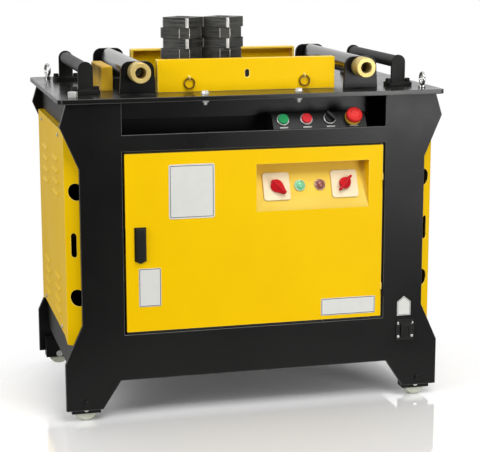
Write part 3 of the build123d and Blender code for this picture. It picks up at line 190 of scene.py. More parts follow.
def make_floor():
    """A disc of floor whose edge fades out to the world."""
    mesh = bpy.data.meshes.new("floor")
    builder = bmesh.new()
    bmesh.ops.create_circle(builder, cap_ends=True, radius=FLOOR_REACH, segments=FLOOR_SEGMENTS)
    builder.to_mesh(mesh)
    builder.free()
    floor = bpy.data.objects.new("floor", mesh)
    bpy.context.scene.collection.objects.link(floor)
    material = bpy.data.materials.new("floor_white")
    material.use_nodes = True
    tree = material.node_tree
    camera_ray, seen = seen_rays(tree)
    matt = tree.nodes["Principled BSDF"]
    fill(tree, matt.inputs["Base Color"], map_range(tree, seen, To_Min=FLOOR_BOUNCE, To_Max=FLOOR_WHITE))
    fill(tree, matt.inputs["Roughness"], 1.0)
    fill(tree, matt.inputs["Specular IOR Level"], 0.0)
    mirror = add_node(tree, "ShaderNodeBsdfGlossy", Color=WHITE, Roughness=FLOOR_BLUR)
    place = surface_place(tree)
    along = add_node(tree, "ShaderNodeSeparateXYZ", Vector=place).outputs["Y"]
    front = map_range(tree, along, From_Min=FLOOR_MATT_Y, From_Max=FLOOR_POLISH_Y, To_Max=FLOOR_MIRROR)
    slant = add_node(tree, "ShaderNodeLayerWeight").outputs["Facing"]
    gloss = add_math(tree, "MULTIPLY", add_math(tree, "MULTIPLY", camera_ray, slant), front)
    polished = mix_shaders(tree, gloss, matt.outputs["BSDF"], mirror.outputs["BSDF"])
    away = add_node(tree, "ShaderNodeVectorMath", operation="DISTANCE", Vector=place)
    fill(tree, away.inputs[1], FLOOR_FADE_CENTRE)
    fade = map_range(tree, away.outputs["Value"], From_Min=FLOOR_FADE_START, From_Max=FLOOR_FADE_END,
                     interpolation_type="SMOOTHSTEP")
    clear = add_node(tree, "ShaderNodeBsdfTransparent").outputs["BSDF"]
    fill(tree, tree.nodes["Material Output"].inputs["Surface"], mix_shaders(tree, fade, polished, clear))
    mesh.materials.append(material)


def make_world():
    """A white world for the camera, and a softer one, dimmer in front, that lights the machine."""
    world = bpy.data.worlds.new("studio")
    bpy.context.scene.world = world
    world.use_nodes = True
    tree = world.node_tree
    place = add_node(tree, "ShaderNodeTexCoord").outputs["Generated"]
    parts = add_node(tree, "ShaderNodeSeparateXYZ", Vector=place).outputs
    level = map_range(tree, parts["Y"], From_Min=WORLD_FRONT_Y, From_Max=WORLD_BACK_Y,
                      To_Min=WORLD_FRONT, To_Max=WORLD_BACK)
    strengths = []
    for low in (WORLD_UNDER, WORLD_UNDER_SEEN):
        under = map_range(tree, parts["Z"], From_Min=WORLD_UNDER_Z, From_Max=0.0, To_Min=low)
        strengths.append(add_math(tree, "MULTIPLY", level, under))
    camera_ray, seen = seen_rays(tree)
    lit = tree.nodes["Background"]
    fill(tree, lit.inputs["Color"], WHITE)
    fill(tree, lit.inputs["Strength"], strengths[0])
    bright = add_math(tree, "MAXIMUM", strengths[1], camera_ray)
    back = add_node(tree, "ShaderNodeBackground", Color=WHITE, Strength=bright)
    mixed = mix_shaders(tree, seen, lit.outputs["Background"], back.outputs["Background"])
    fill(tree, tree.nodes["World Output"].inputs["Surface"], mixed)


def make_lamp(name, place, target, size, power):
    """A square soft lamp that looks at a point."""
    data = bpy.data.lights.new(name, "AREA")
    data.shape = "SQUARE"
    data.size = size
    data.energy = power
    lamp = bpy.data.objects.new(name, data)
    lamp.location = place
    look = Vector(target) - Vector(place)
    lamp.rotation_euler = look.to_track_quat("-Z", "Y").to_euler()
    bpy.context.scene.collection.objects.link(lamp)


make_floor()
make_world()
for lamp_name, lamp_setting in LAMPS.items():
    make_lamp(lamp_name, **lamp_setting)
print("lamps", len(LAMPS))

# %% [markdown]
# ## Shared effects
#
# Paint, steel and plastic differ in colour and shine, but they share a few small effects: a
# slow drift of shade, the fine orange peel of sprayed paint, the lines that a lathe or a mill leaves,
# and a little dust on upward faces, which on the black paint of the plates and deck is also a painted
# sheen. Each effect is a node group that is built once. A group only puts out colours, values and
# normals, and each material keeps its own shader.

# %% Node groups for drift, peel, lines, and dust with painted sheen
PEEL_HEIGHT = 0.0004
LINE_HEIGHT = 0.0003
# The grey that the dust mixes in also stands as a painted sheen on the level faces of black paint.
DUST_AND_SHEEN_GREY = (0.35, 0.33, 0.3, 1)
DUST_AND_SHEEN_SCALE = 14.0


def new_tree(kind, name, inputs, outputs):
    """A node group with named sockets, each given by name and kind; its inner inputs and outputs."""
    tree = bpy.data.node_groups.new(name, kind)
    for way, sockets in (("INPUT", inputs), ("OUTPUT", outputs)):
        for label, socket_kind in sockets.items():
            tree.interface.new_socket(label, in_out=way, socket_type="NodeSocket" + socket_kind)
    start = tree.nodes.new("NodeGroupInput")
    end = tree.nodes.new("NodeGroupOutput")
    return tree, start.outputs, end.inputs


def mix_colors(tree, share, first, second):
    """Two colours mixed by the share of the second; its one output."""
    # A mix node lists its number and vector sockets before its colour sockets.
    node = add_node(tree, "ShaderNodeMix", data_type="RGBA")
    for place, value in ((0, share), (6, first), (7, second)):
        fill(tree, node.inputs[place], value)
    return node.outputs[2]


def vary(tree, given, mask):
    """The given roughness, less or more by up to half the given spread as a mask goes from 0 to 1."""
    centred = add_math(tree, "SUBTRACT", mask, 0.5)
    return add_math(tree, "MULTIPLY_ADD", centred, given["Spread"], given["Roughness"])


def group_drift():
    """Colour and roughness that wander slowly over a surface."""
    group, given, result = new_tree(
        "ShaderNodeTree", "shade drift",
        {"Color": "Color", "Shade": "Color", "Scale": "Float", "Amount": "Float", "Roughness": "Float",
         "Spread": "Float"},
        {"Color": "Color", "Roughness": "Float"},
    )
    noise = add_node(group, "ShaderNodeTexNoise", Vector=surface_place(group), Scale=given["Scale"],
                     Detail=4.0, Roughness=0.55)
    mask = map_range(group, noise.outputs["Fac"], From_Min=0.32, From_Max=0.68)
    share = add_math(group, "MULTIPLY", mask, given["Amount"])
    fill(group, result["Color"], mix_colors(group, share, given["Color"], given["Shade"]))
    fill(group, result["Roughness"], vary(group, given, mask))
    return group


def group_peel():
    """The faint waviness of sprayed paint or the grain of a moulding."""
    group, given, result = new_tree(
        "ShaderNodeTree", "fine peel", {"Scale": "Float", "Strength": "Float"}, {"Normal": "Vector"},
    )
    noise = add_node(group, "ShaderNodeTexNoise", Vector=surface_place(group), Scale=given["Scale"],
                     Detail=2.0)
    bump = add_node(group, "ShaderNodeBump", Height=noise.outputs["Fac"], Strength=given["Strength"],
                    Distance=PEEL_HEIGHT)
    fill(group, result["Normal"], bump.outputs["Normal"])
    return group


def group_lines():
    """Fine lines across one direction, as a lathe, mill or brush leaves them."""
    group, given, result = new_tree(
        "ShaderNodeTree", "tool lines",
        {"Stretch": "Vector", "Strength": "Float", "Roughness": "Float", "Spread": "Float"},
        {"Roughness": "Float", "Normal": "Vector", "Mask": "Float"},
    )
    stretch = add_node(group, "ShaderNodeVectorMath", operation="MULTIPLY", Vector=surface_place(group))
    fill(group, stretch.inputs[1], given["Stretch"])
    noise = add_node(group, "ShaderNodeTexNoise", Vector=stretch.outputs["Vector"], Scale=1.0, Detail=3.0,
                     Roughness=0.7)
    bump = add_node(group, "ShaderNodeBump", Height=noise.outputs["Fac"], Strength=given["Strength"],
                    Distance=LINE_HEIGHT)
    fill(group, result["Roughness"], vary(group, given, noise.outputs["Fac"]))
    fill(group, result["Normal"], bump.outputs["Normal"])
    fill(group, result["Mask"], noise.outputs["Fac"])
    return group


def group_dust_and_sheen():
    """A thin veil of dust on faces that look up; on black paint it is also a painted sheen."""
    group, given, result = new_tree(
        "ShaderNodeTree", "settled dust and sheen", {"Color": "Color", "Amount": "Float"}, {"Color": "Color"},
    )
    normal = add_node(group, "ShaderNodeNewGeometry").outputs["Normal"]
    height = add_node(group, "ShaderNodeSeparateXYZ", Vector=normal).outputs["Z"]
    upward = map_range(group, height, From_Min=0.55, From_Max=0.95)
    noise = add_node(group, "ShaderNodeTexNoise", Vector=surface_place(group), Scale=DUST_AND_SHEEN_SCALE, Detail=6.0,
                     Roughness=0.7)
    patch = map_range(group, noise.outputs["Fac"], From_Min=0.3, From_Max=0.75)
    share = add_math(group, "MULTIPLY", add_math(group, "MULTIPLY", upward, patch), given["Amount"])
    fill(group, result["Color"], mix_colors(group, share, given["Color"], DUST_AND_SHEEN_GREY))
    return group


DRIFT = group_drift()
PEEL = group_peel()
LINES = group_lines()
DUST_AND_SHEEN = group_dust_and_sheen()
print("node groups", len(bpy.data.node_groups))

# %% [markdown]
# ## Finishes
#
# A finish is a Principled shader fed by the groups above. Every finish drifts a little in shade, so no
# surface is one flat colour. The numbers that stay the same over a surface, such as how metallic it
# is, are set straight on the shader. Colours are written as screen colours and turned into the linear
# values that Blender works with.

# %% Helper that builds a finish
COAT_ROUGHNESS = 0.12
STRIPE_LIGHT = 0.44
STRIPE_DARK = 0.56


def linear(screen):
    """A screen colour such as 3C3C3A as linear red, green, blue and alpha."""
    parts = [int(screen[place:place + 2], 16) / 255 for place in (0, 2, 4)]
    lit = [part / 12.92 if part <= 0.04045 else ((part + 0.055) / 1.055) ** 2.4 for part in parts]
    return (*lit, 1.0)


def make_finish(name, color, shade, roughness, spread=0.08, scale=5.0, amount=0.6, metallic=0.0,
                specular=0.5, coat=0.0, peel=0.0, peel_scale=500.0, lines=None, line_depth=0.15,
                striped=False, dust_and_sheen=0.0):
    """A material from the shared groups: drift always, dust (on black paint also a painted sheen), then peel
    or tool lines, which may be dark.
    """
    material = bpy.data.materials.new(name)
    material.use_nodes = True
    tree = material.node_tree
    shader = tree.nodes["Principled BSDF"].inputs
    fill(tree, shader["Metallic"], metallic)
    fill(tree, shader["Specular IOR Level"], specular)
    fill(tree, shader["Coat Weight"], coat)
    fill(tree, shader["Coat Roughness"], COAT_ROUGHNESS)
    drift = add_node(tree, "ShaderNodeGroup", node_tree=DRIFT, Color=linear(color), Shade=linear(shade),
                     Scale=scale, Amount=amount, Roughness=roughness, Spread=spread)
    fill(tree, shader["Roughness"], drift.outputs["Roughness"])
    paint = drift.outputs["Color"]
    if dust_and_sheen:
        paint = add_node(tree, "ShaderNodeGroup", node_tree=DUST_AND_SHEEN, Color=paint, Amount=dust_and_sheen).outputs["Color"]
    fill(tree, shader["Base Color"], paint)
    if lines:
        cut = add_node(tree, "ShaderNodeGroup", node_tree=LINES, Stretch=lines, Strength=line_depth,
                       Roughness=roughness, Spread=spread)
        fill(tree, shader["Normal"], cut.outputs["Normal"])
        fill(tree, shader["Roughness"], cut.outputs["Roughness"])
        if striped:
            stripes = map_range(tree, cut.outputs["Mask"], From_Min=STRIPE_LIGHT, From_Max=STRIPE_DARK)
            fill(tree, drift.inputs["Amount"], stripes)
    elif peel:
        skin = add_node(tree, "ShaderNodeGroup", node_tree=PEEL, Scale=peel_scale, Strength=peel)
        fill(tree, shader["Normal"], skin.outputs["Normal"])
    return material


# %% [markdown]
# The black paint is a semi-gloss coat with fine peel and a trace of dust on level faces, which is also a
# painted sheen, and the deck wears a glossier one. The yellow is a smoother enamel. Turned steel gets tool
# lines: its noise is squeezed along the roller's axis, so that the lines run round it. The dies are
# blackened, with dark mill lines on their sides and bright metal where their corners were ground.
#
# Each finish is a colour, a second shade, a roughness and what else sets it apart.

# %% One finish for each material of the machine
FINISH_SETTINGS = {
    # On the black paint and the deck the dust is also a painted sheen on level faces.
    "black_paint": ("101010", "151514", 0.31, {"spread": 0.1, "specular": 0.15, "peel": 0.1, "dust_and_sheen": 0.06}),
    "deck_paint": ("131313", "1A1A19", 0.22, {"spread": 0.1, "specular": 0.25, "peel": 0.06, "dust_and_sheen": 0.05}),
    "rail_paint": ("171716", "1E1E1D", 0.46, {"spread": 0.1, "specular": 0.16, "peel": 0.2}),
    "grey_paint": ("1E1E1D", "262625", 0.45, {"specular": 0.2, "peel": 0.1, "dust_and_sheen": 0.06}),
    "yellow_paint": ("F2C500", "EDBE00", 0.4, {"amount": 0.7, "specular": 0.06, "peel": 0.06,
                                               "peel_scale": 300}),
    # The back of the door's recess is painted a paler yellow, a painted sheen.
    "recess_sheen_yellow": ("EECA4E", "E8C03C", 0.36, {"spread": 0.1, "scale": 9, "specular": 0.2, "peel": 0.06,
                                                 "peel_scale": 300}),
    # The paler rim finishes are painted highlights on the edges of the big plates and beams.
    "black_edge_highlight": ("4A4A48", "3C3C3A", 0.35, {"spread": 0.1, "scale": 30, "specular": 0.4, "peel": 0.05}),
    "yellow_edge_highlight": ("FBE27C", "F6D862", 0.35, {"spread": 0.1, "scale": 30, "peel": 0.05}),
    "worn_yellow": ("D8AE2A", "B48A1C", 0.5, {"spread": 0.15, "scale": 16, "amount": 0.9, "specular": 0.2,
                                              "peel": 0.15}),
    "shadow_black": ("0C0C0C", "121212", 0.6, {"specular": 0.12, "peel": 0.1}),
    "bright_steel": ("6C6C6A", "5E5E5C", 0.17, {"metallic": 1, "lines": (12, 900, 12), "line_depth": 0.05}),
    "bezel_metal": ("D6D6D2", "C4C4C0", 0.3, {"spread": 0.1, "scale": 60, "metallic": 0.5, "peel": 0.05}),
    "zinc_steel": ("D2D2CE", "BCBCB6", 0.34, {"spread": 0.15, "scale": 60, "metallic": 0.45, "peel": 0.1,
                                              "peel_scale": 900}),
    # A paler zinc for the nuts under the deck: painted light where they sit in the deck's shade.
    "nut_zinc_painted_light": ("F4F4F0", "E4E4DE", 0.3, {"spread": 0.15, "scale": 60, "metallic": 0.2, "peel": 0.1,
                                           "peel_scale": 900}),
    "ring_bronze": ("7A5A22", "5E4418", 0.34, {"spread": 0.15, "scale": 80, "metallic": 0.8}),
    "die_steel": ("4A4A47", "0C0C0B", 0.46, {"spread": 0.2, "scale": 30, "metallic": 0.4,
                                             "lines": (9, 9, 400), "line_depth": 0.3, "striped": True}),
    "ground_steel": ("C2C2BE", "A4A4A0", 0.36, {"spread": 0.2, "scale": 90, "metallic": 0.6,
                                                "lines": (60, 60, 900), "line_depth": 0.1}),
    "chrome": ("D2D2D0", "BEBEBC", 0.12, {"spread": 0.06, "scale": 30, "metallic": 1}),
    "brass": ("D2BC78", "BEA45C", 0.42, {"spread": 0.15, "scale": 30, "metallic": 0.55, "specular": 0.3,
                                         "lines": (30, 900, 30)}),
    "cast_housing": ("3C4448", "343A3E", 0.6, {"peel": 0.5, "peel_scale": 220, "dust_and_sheen": 0.3}),
    "motor_alloy": ("707878", "5E6666", 0.5, {"metallic": 0.3, "peel": 0.4, "peel_scale": 260,
                                              "dust_and_sheen": 0.3}),
    "belt_rubber": ("1C1C1C", "282826", 0.75, {"scale": 30, "peel": 0.3, "peel_scale": 600}),
    "nylon": ("D0D2C0", "BEC0AE", 0.5, {"scale": 40, "peel": 0.1, "dust_and_sheen": 0.1}),
    "black_plastic": ("111110", "191918", 0.45, {"scale": 30, "specular": 0.22, "peel": 0.35,
                                                 "peel_scale": 1400}),
    "cream_plastic": ("ECDCB8", "E2D0A8", 0.42, {"scale": 20, "peel": 0.04}),
    "red_plastic": ("C41A24", "B4121C", 0.45, {"scale": 40, "specular": 0.14, "peel": 0.04}),
    "stop_red": ("D62C2A", "C82422", 0.42, {"scale": 40, "specular": 0.16, "peel": 0.04}),
    "green_plastic": ("128E50", "0E7E44", 0.45, {"scale": 40, "specular": 0.14, "peel": 0.04}),
    "yellow_plastic": ("E6BE3C", "DCB02C", 0.35, {"scale": 40, "coat": 0.2, "peel": 0.04}),
    "green_lens": ("74C493", "63B584", 0.25, {"scale": 50, "coat": 0.3, "peel": 0.1, "peel_scale": 700}),
    "red_lens": ("8E4C40", "804034", 0.3, {"scale": 50, "coat": 0.3, "peel": 0.1, "peel_scale": 700}),
    "plate_white": ("D8D8D4", "D0D0CA", 0.42, {"scale": 30, "peel": 0.04}),
    "strip_grey": ("9C9C98", "8E8E8A", 0.5, {"scale": 60, "peel": 0.04}),
    "plate_ink": ("2A2A2A", "363634", 0.5, {"scale": 60, "peel": 0.04}),
}
FINISHES = {}
for finish_name, (main_color, second_shade, roughness, extras) in FINISH_SETTINGS.items():
    FINISHES[finish_name] = make_finish(finish_name, main_color, second_shade, roughness, **extras)
NODE_FINISH = {
    "deck_plate": "deck_paint", "rail_posts": "rail_paint", "rail_bars": "rail_paint",
    "button_bezels": "bezel_metal", "left_pull_ring": "ring_bronze", "right_pull_ring": "ring_bronze",
    "estop_button": "stop_red", "guide_block": "worn_yellow", "slot_wall": "shadow_black",
}
print("finishes", len(FINISHES))

# %% [markdown]
# ## Easing the edges
#
# A real plate has no perfectly sharp edge: its rim is broken by the grinder and rounded by the paint,
# and that thin rim is what catches the light. On the big plates and beams the rim is also painted
# paler, a painted highlight for the light that the edge catches. Each imported piece is copied, its
# triangles are joined back into flat faces, and a Bevel modifier rounds every edge that is sharper
# than 30 degrees. A Weighted Normal modifier then keeps the big faces flat. The result is baked, so no
# modifier is left behind.

# %% Ease every imported piece
EDGE_WIDTH = 0.6
EDGE_WIDTHS = {
    "deck_plate": 1.6, "front_plate": 1.5, "rear_plate": 1.5, "rear_panel": 0.5, "side_rails": 0.8,
    "right_side_panel": 0.45, "left_side_panel": 0.45, "deck_beams": 0.8, "hinge_pins": 0.2,
    "inlet_socket": 0.3, "latch_body": 0.8, "latch_handle": 1.0, "switch_plates": 1.4, "green_lamp": 0.5,
    "red_lamp": 0.5, "left_switch_knob": 0.9, "right_switch_knob": 0.9, "button_bezels": 0.5,
    "selector_knob": 0.8, "estop_ring": 0.8, "estop_button": 1.2, "front_beam": 1.6, "rear_beam": 1.6,
    "left_pull_ring": 0.2, "right_pull_ring": 0.2, "roller_brackets": 1.0, "roller_bushes": 0.8,
    "rail_posts": 1.0, "rail_bars": 1.0, "eye_bolts": 0.3, "work_disc": 1.0, "spindle_shaft": 0.5,
    "die_pins": 1.5, "center_dies": 0.9, "bending_dies": 0.9, "gear_reducer": 1.5, "spindle_bearing": 1.0,
    "motor": 1.0, "drive_belts": 0.5, "electrical_box": 0.8, "wheel_forks": 0.8, "wheel_axles": 0.5,
    "slot_wall": 0.4,
}
# These rims are painted paler, a painted highlight where the edges catch the light.
RIM_HIGHLIGHT_FINISH = {
    "deck_plate": "black_edge_highlight", "front_plate": "black_edge_highlight", "rear_plate": "black_edge_highlight",
    "front_beam": "yellow_edge_highlight", "rear_beam": "yellow_edge_highlight", "left_side_panel": "yellow_edge_highlight",
    "right_side_panel": "yellow_edge_highlight",
}
FIRST_SLOT = 0
SECOND_SLOT = 1
THIRD_SLOT = 2
FOURTH_SLOT = 3
SAME_SLOT = -1
SHARP = math.radians(30)
CREASE = math.radians(50)
FLAT = math.radians(0.6)
RIM_SEGMENTS = 2
FULL_WEIGHT = 100
SEAM = 0.005 * MM
SLIVER = 0.05 * MM

record = frame["record"]
body_of_node = {node: body for body, group in record["behaviour"]["bodies"].items() for node in group}
slot_of_node = {part["node"]: part["material_slot"] for part in record["subparts"]}


def bake(piece):
    """Swap a piece's mesh for the result of its modifiers."""
    bpy.context.view_layer.update()
    graph = bpy.context.evaluated_depsgraph_get()
    baked = bpy.data.meshes.new_from_object(piece.evaluated_get(graph))
    piece.modifiers.clear()
    piece.data = baked


def round_edges(piece, width, rim_slot=SAME_SLOT):
    """Bevel the sharp edges, keep the flat faces flat, and bake; the rims may take another slot."""
    piece.data.shade_smooth()
    piece.data.set_sharp_from_angle(angle=CREASE)
    bevel = piece.modifiers.new("rim", "BEVEL")
    bevel.width = width * MM
    bevel.segments = RIM_SEGMENTS
    bevel.limit_method = "ANGLE"
    bevel.angle_limit = SHARP
    bevel.use_clamp_overlap = False
    bevel.miter_outer = "MITER_SHARP"
    bevel.material = rim_slot
    flat = piece.modifiers.new("flat", "WEIGHTED_NORMAL")
    flat.weight = FULL_WEIGHT
    flat.keep_sharp = False
    bake(piece)


def copy_node(name, *more_finishes):
    """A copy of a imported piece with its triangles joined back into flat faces, in its own finish first."""
    builder = bmesh.new()
    builder.from_mesh(nodes[name].data)
    bmesh.ops.remove_doubles(builder, verts=builder.verts, dist=SEAM)
    bmesh.ops.dissolve_degenerate(builder, edges=builder.edges, dist=SLIVER)
    bmesh.ops.dissolve_limit(builder, angle_limit=FLAT, verts=builder.verts, edges=builder.edges)
    mesh = bpy.data.meshes.new(name + "_eased")
    builder.to_mesh(mesh)
    builder.free()
    for finish in (NODE_FINISH.get(name, slot_of_node[name]), *more_finishes):
        mesh.materials.append(FINISHES[finish])
    piece = bpy.data.objects.new(name + "_eased", mesh)
    bpy.context.scene.collection.objects.link(piece)
    return piece


def stand_in(piece, name):
    """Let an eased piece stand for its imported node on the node's body, no larger than the node's box."""
    low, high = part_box(name)
    for vertex in piece.data.vertices:
        vertex.co = [min(max(part, least), most) for part, least, most in zip(vertex.co, low, high)]
    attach(piece, body_of_node[name])
    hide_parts(name)


DIES = ("center_dies", "bending_dies")
PILOT_LAMPS = ("green_lamp", "red_lamp")
face_count = 0
for node_name in nodes:
    if node_name not in (*DIES, *PILOT_LAMPS, "door"):
        # Rims of the big plates and beams get a painted highlight.
        rim_highlight_finishes = [RIM_HIGHLIGHT_FINISH[node_name]] if node_name in RIM_HIGHLIGHT_FINISH else []
        plain = copy_node(node_name, *rim_highlight_finishes)
        rim_slot = SECOND_SLOT if rim_highlight_finishes else SAME_SLOT
        round_edges(plain, EDGE_WIDTHS.get(node_name, EDGE_WIDTH), rim_slot)
        stand_in(plain, node_name)
        face_count += len(plain.data.polygons)
print("faces of eased pieces", face_count)

# %% [markdown]
# ## Pieces in more than one finish
#
# The dies are blackened blocks whose upright corners were ground bright, the lamps are coloured lenses in
# pale rings, and the door is yellow with black hinge knuckles, paler rims that are a painted highlight,
# and a paler slope behind its switches that is a painted sheen. Each is one imported piece with more than
# one material slot. On a die, the narrow faces that look straight along X or Y and the upright bevels take
# the bright slot. The bevels that lie level go back to the dark one, because two stacked dies hide each
# other's rims.

# %% Dies with ground corners
STRAIGHT = 0.9995
LEVEL = 0.2


def ease_dies(name):
    """Ease a stack of dies and give its upright corners bright metal."""
    piece = copy_node(name, "ground_steel")
    for face in piece.data.polygons:
        if max(abs(face.normal.x), abs(face.normal.y)) > STRAIGHT:
            face.material_index = SECOND_SLOT
    round_edges(piece, EDGE_WIDTHS[name], SECOND_SLOT)
    for face in piece.data.polygons:
        if abs(face.normal.z) > LEVEL:
            face.material_index = FIRST_SLOT
    stand_in(piece, name)
    print(name, "bright faces", sum(face.material_index for face in piece.data.polygons))


for node_name in DIES:
    ease_dies(node_name)

# %% Lamps with pale rings and a door with black hinges
RECESS_RUN = 48.0
RECESS_RISE = 122.0
RECESS_OUT = Vector((0, -RECESS_RISE, RECESS_RUN)).normalized()
LENS_R = 11.7
DOOR_HALF = 337.5
DOOR_PLAY = 0.2


def ease_lamp(name):
    """Ease a lamp and give the ring round its lens pale metal."""
    piece = copy_node(name)
    round_edges(piece, EDGE_WIDTHS[name])
    piece.data.materials.append(FINISHES["bezel_metal"])
    low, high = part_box(name)
    centre = (Vector(low) + Vector(high)) / 2
    for face in piece.data.polygons:
        aside = (face.center - centre).cross(RECESS_OUT).length
        if aside > LENS_R * MM:
            face.material_index = SECOND_SLOT
    stand_in(piece, name)


def ease_door():
    """Ease the door, with painted highlights on its rims, black hinge knuckles and a painted sheen on the
    back of its recess.
    """
    piece = copy_node("door", "black_paint", "yellow_edge_highlight", "recess_sheen_yellow")
    round_edges(piece, EDGE_WIDTH, THIRD_SLOT)
    for face in piece.data.polygons:
        if face.center.x > (DOOR_HALF + DOOR_PLAY) * MM:
            face.material_index = SECOND_SLOT
        # The back of the recess takes the paler yellow of a painted sheen.
        elif face.normal.dot(RECESS_OUT) > STRAIGHT:
            face.material_index = FOURTH_SLOT
    stand_in(piece, "door")


for node_name in PILOT_LAMPS:
    ease_lamp(node_name)
ease_door()
print("pieces in more than one finish", *DIES, *PILOT_LAMPS, "door")

# %% [markdown]
# ## Fasteners by Geometry Nodes
#
# A machine of folded sheet is full of small fasteners, and they repeat, so one Geometry Nodes tree makes
# them all. It starts from loose points that carry the direction in which each head looks. A cylinder with
# six sides is a hex head, one with many sides a round head. Its top face is extruded and scaled for the
# rim, then pushed back in for the socket. Each group of like fasteners sets the tree's named inputs.

# %% Tree for bolt and screw heads
WASHER_SIDES = 28
FASTENER_SEED = 4
FULL_TURN = 2 * math.pi


def raise_by(tree, mesh, height):
    """Move a mesh up by a height."""
    place = add_node(tree, "ShaderNodeCombineXYZ", Z=height).outputs["Vector"]
    return add_node(tree, "GeometryNodeTransform", Geometry=mesh, Translation=place).outputs["Geometry"]


def extrude(tree, mesh, top, height):
    """Push the faces of a selection out by a height; the outputs hold the mesh and its new top faces."""
    return add_node(tree, "GeometryNodeExtrudeMesh", Mesh=mesh, Selection=top, Offset_Scale=height).outputs


def narrow(tree, mesh, top, share):
    """Scale the faces of a selection about their middle."""
    step = add_node(tree, "GeometryNodeScaleElements", Geometry=mesh, Selection=top, Scale=share)
    return step.outputs["Geometry"]


def tree_fastener():
    """Heads with washers on points, each looking along its point's aim and turned at random about it."""
    tree, given, result = new_tree(
        "GeometryNodeTree", "fasteners",
        {"Geometry": "Geometry", "Sides": "Int", "Head Radius": "Float", "Head Height": "Float",
         "Rim Height": "Float", "Rim Share": "Float", "Socket Share": "Float", "Socket Depth": "Float",
         "Washer Radius": "Float", "Washer Height": "Float", "Material": "Material"},
        {"Geometry": "Geometry"},
    )
    washer = add_node(tree, "GeometryNodeMeshCylinder", Vertices=WASHER_SIDES,
                      Radius=given["Washer Radius"], Depth=given["Washer Height"])
    low = raise_by(tree, washer.outputs["Mesh"], add_math(tree, "MULTIPLY", given["Washer Height"], 0.5))
    body = add_node(tree, "GeometryNodeMeshCylinder", Vertices=given["Sides"], Radius=given["Head Radius"],
                    Depth=given["Head Height"])
    rim = extrude(tree, body.outputs["Mesh"], body.outputs["Top"], given["Rim Height"])
    lip = extrude(tree, narrow(tree, rim["Mesh"], rim["Top"], given["Rim Share"]), rim["Top"], 0.0)
    mouth = narrow(tree, lip["Mesh"], lip["Top"], given["Socket Share"])
    socket = extrude(tree, mouth, lip["Top"], add_math(tree, "MULTIPLY", given["Socket Depth"], -1.0))
    half = add_math(tree, "MULTIPLY", given["Head Height"], 0.5)
    high = raise_by(tree, socket["Mesh"], add_math(tree, "ADD", half, given["Washer Height"]))
    join = add_node(tree, "GeometryNodeJoinGeometry", Geometry=low)
    fill(tree, join.inputs["Geometry"], high)
    aim = add_node(tree, "GeometryNodeInputNamedAttribute", data_type="FLOAT_VECTOR", Name="aim")
    look = add_node(tree, "FunctionNodeAlignRotationToVector", axis="Z", Vector=aim.outputs["Attribute"])
    spread = add_node(tree, "GeometryNodeInstanceOnPoints", Points=given["Geometry"],
                      Instance=join.outputs["Geometry"], Rotation=look.outputs["Rotation"])
    # The fourth input of this node is the largest number, and its second output the number drawn.
    chance = add_node(tree, "FunctionNodeRandomValue", data_type="FLOAT", Seed=FASTENER_SEED)
    fill(tree, chance.inputs[3], FULL_TURN)
    spin = add_node(tree, "ShaderNodeCombineXYZ", Z=chance.outputs[1])
    turned = add_node(tree, "GeometryNodeRotateInstances", Instances=spread.outputs["Instances"],
                      Rotation=spin.outputs["Vector"])
    real = add_node(tree, "GeometryNodeRealizeInstances", Geometry=turned.outputs["Instances"])
    paint = add_node(tree, "GeometryNodeSetMaterial", Geometry=real.outputs["Geometry"],
                     Material=given["Material"])
    fill(tree, result["Geometry"], paint.outputs["Geometry"])
    return tree


def use_tree(piece, tree, values):
    """Run a tree on a piece with its named inputs set, and bake the result."""
    modifier = piece.modifiers.new(tree.name, "NODES")
    modifier.node_group = tree
    for item in tree.interface.items_tree:
        if item.in_out == "INPUT" and item.name in values:
            modifier[item.identifier] = values[item.name]
    bake(piece)
    piece.data.shade_smooth()
    piece.data.set_sharp_from_angle(angle=SHARP)


FASTENERS = tree_fastener()
print("tree", FASTENERS.name, len(FASTENERS.nodes), "nodes")

# %% Kinds of fasteners and where they go
HEX = {"Sides": 6, "Rim Share": 0.86, "Socket Share": 0.7, "Socket Depth": 0.0}
ROUND = {"Sides": 28, "Rim Share": 0.72, "Socket Share": 0.34, "Socket Depth": 0.8 * MM}
HEAD_SHARE = 0.65
RIM_SHARE = 0.35
WASHER_T = 0.8
BOTH = (-1, 1)
UP = (0, 0, 1)
DOWN = (0, 0, -1)
SIDEWAYS = {-1: (-1, 0, 0), 1: (1, 0, 0)}
LENGTHWAYS = {-1: (0, -1, 0), 1: (0, 1, 0)}


def make_fasteners(name, shape, spots, radius, height, washer, washer_height=WASHER_T,
                   finish="zinc_steel"):
    """One piece of like fasteners in millimetres at (x, y, z, direction) spots, riding on the frame."""
    mesh = bpy.data.meshes.new(name)
    mesh.from_pydata([(x * MM, y * MM, z * MM) for x, y, z, aim in spots], [], [])
    aims = mesh.attributes.new("aim", "FLOAT_VECTOR", "POINT")
    aims.data.foreach_set("vector", [part for spot in spots for part in spot[3]])
    piece = bpy.data.objects.new(name, mesh)
    bpy.context.scene.collection.objects.link(piece)
    use_tree(piece, FASTENERS, {
        **shape, "Head Radius": radius * MM, "Head Height": height * HEAD_SHARE * MM,
        "Rim Height": height * RIM_SHARE * MM, "Washer Radius": washer * MM,
        "Washer Height": washer_height * MM, "Material": FINISHES[finish],
    })
    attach(piece, "frame")
    print(name, len(spots), "faces", len(piece.data.polygons))


RAIL_FOOT_X = 414.0
RAIL_FOOT_Y = 184.0
RAIL_FOOT_Z = 832.0
FOOT_BOLT_OUT = 27.0
foot_bolts = [
    (side * RAIL_FOOT_X + step * FOOT_BOLT_OUT, end * RAIL_FOOT_Y, RAIL_FOOT_Z, UP)
    for side in BOTH for end in BOTH for step in BOTH
]
make_fasteners("rail_foot_bolts", HEX, foot_bolts, radius=7.4, height=8.0, washer=8.0, washer_height=1.6,
               finish="rail_paint")

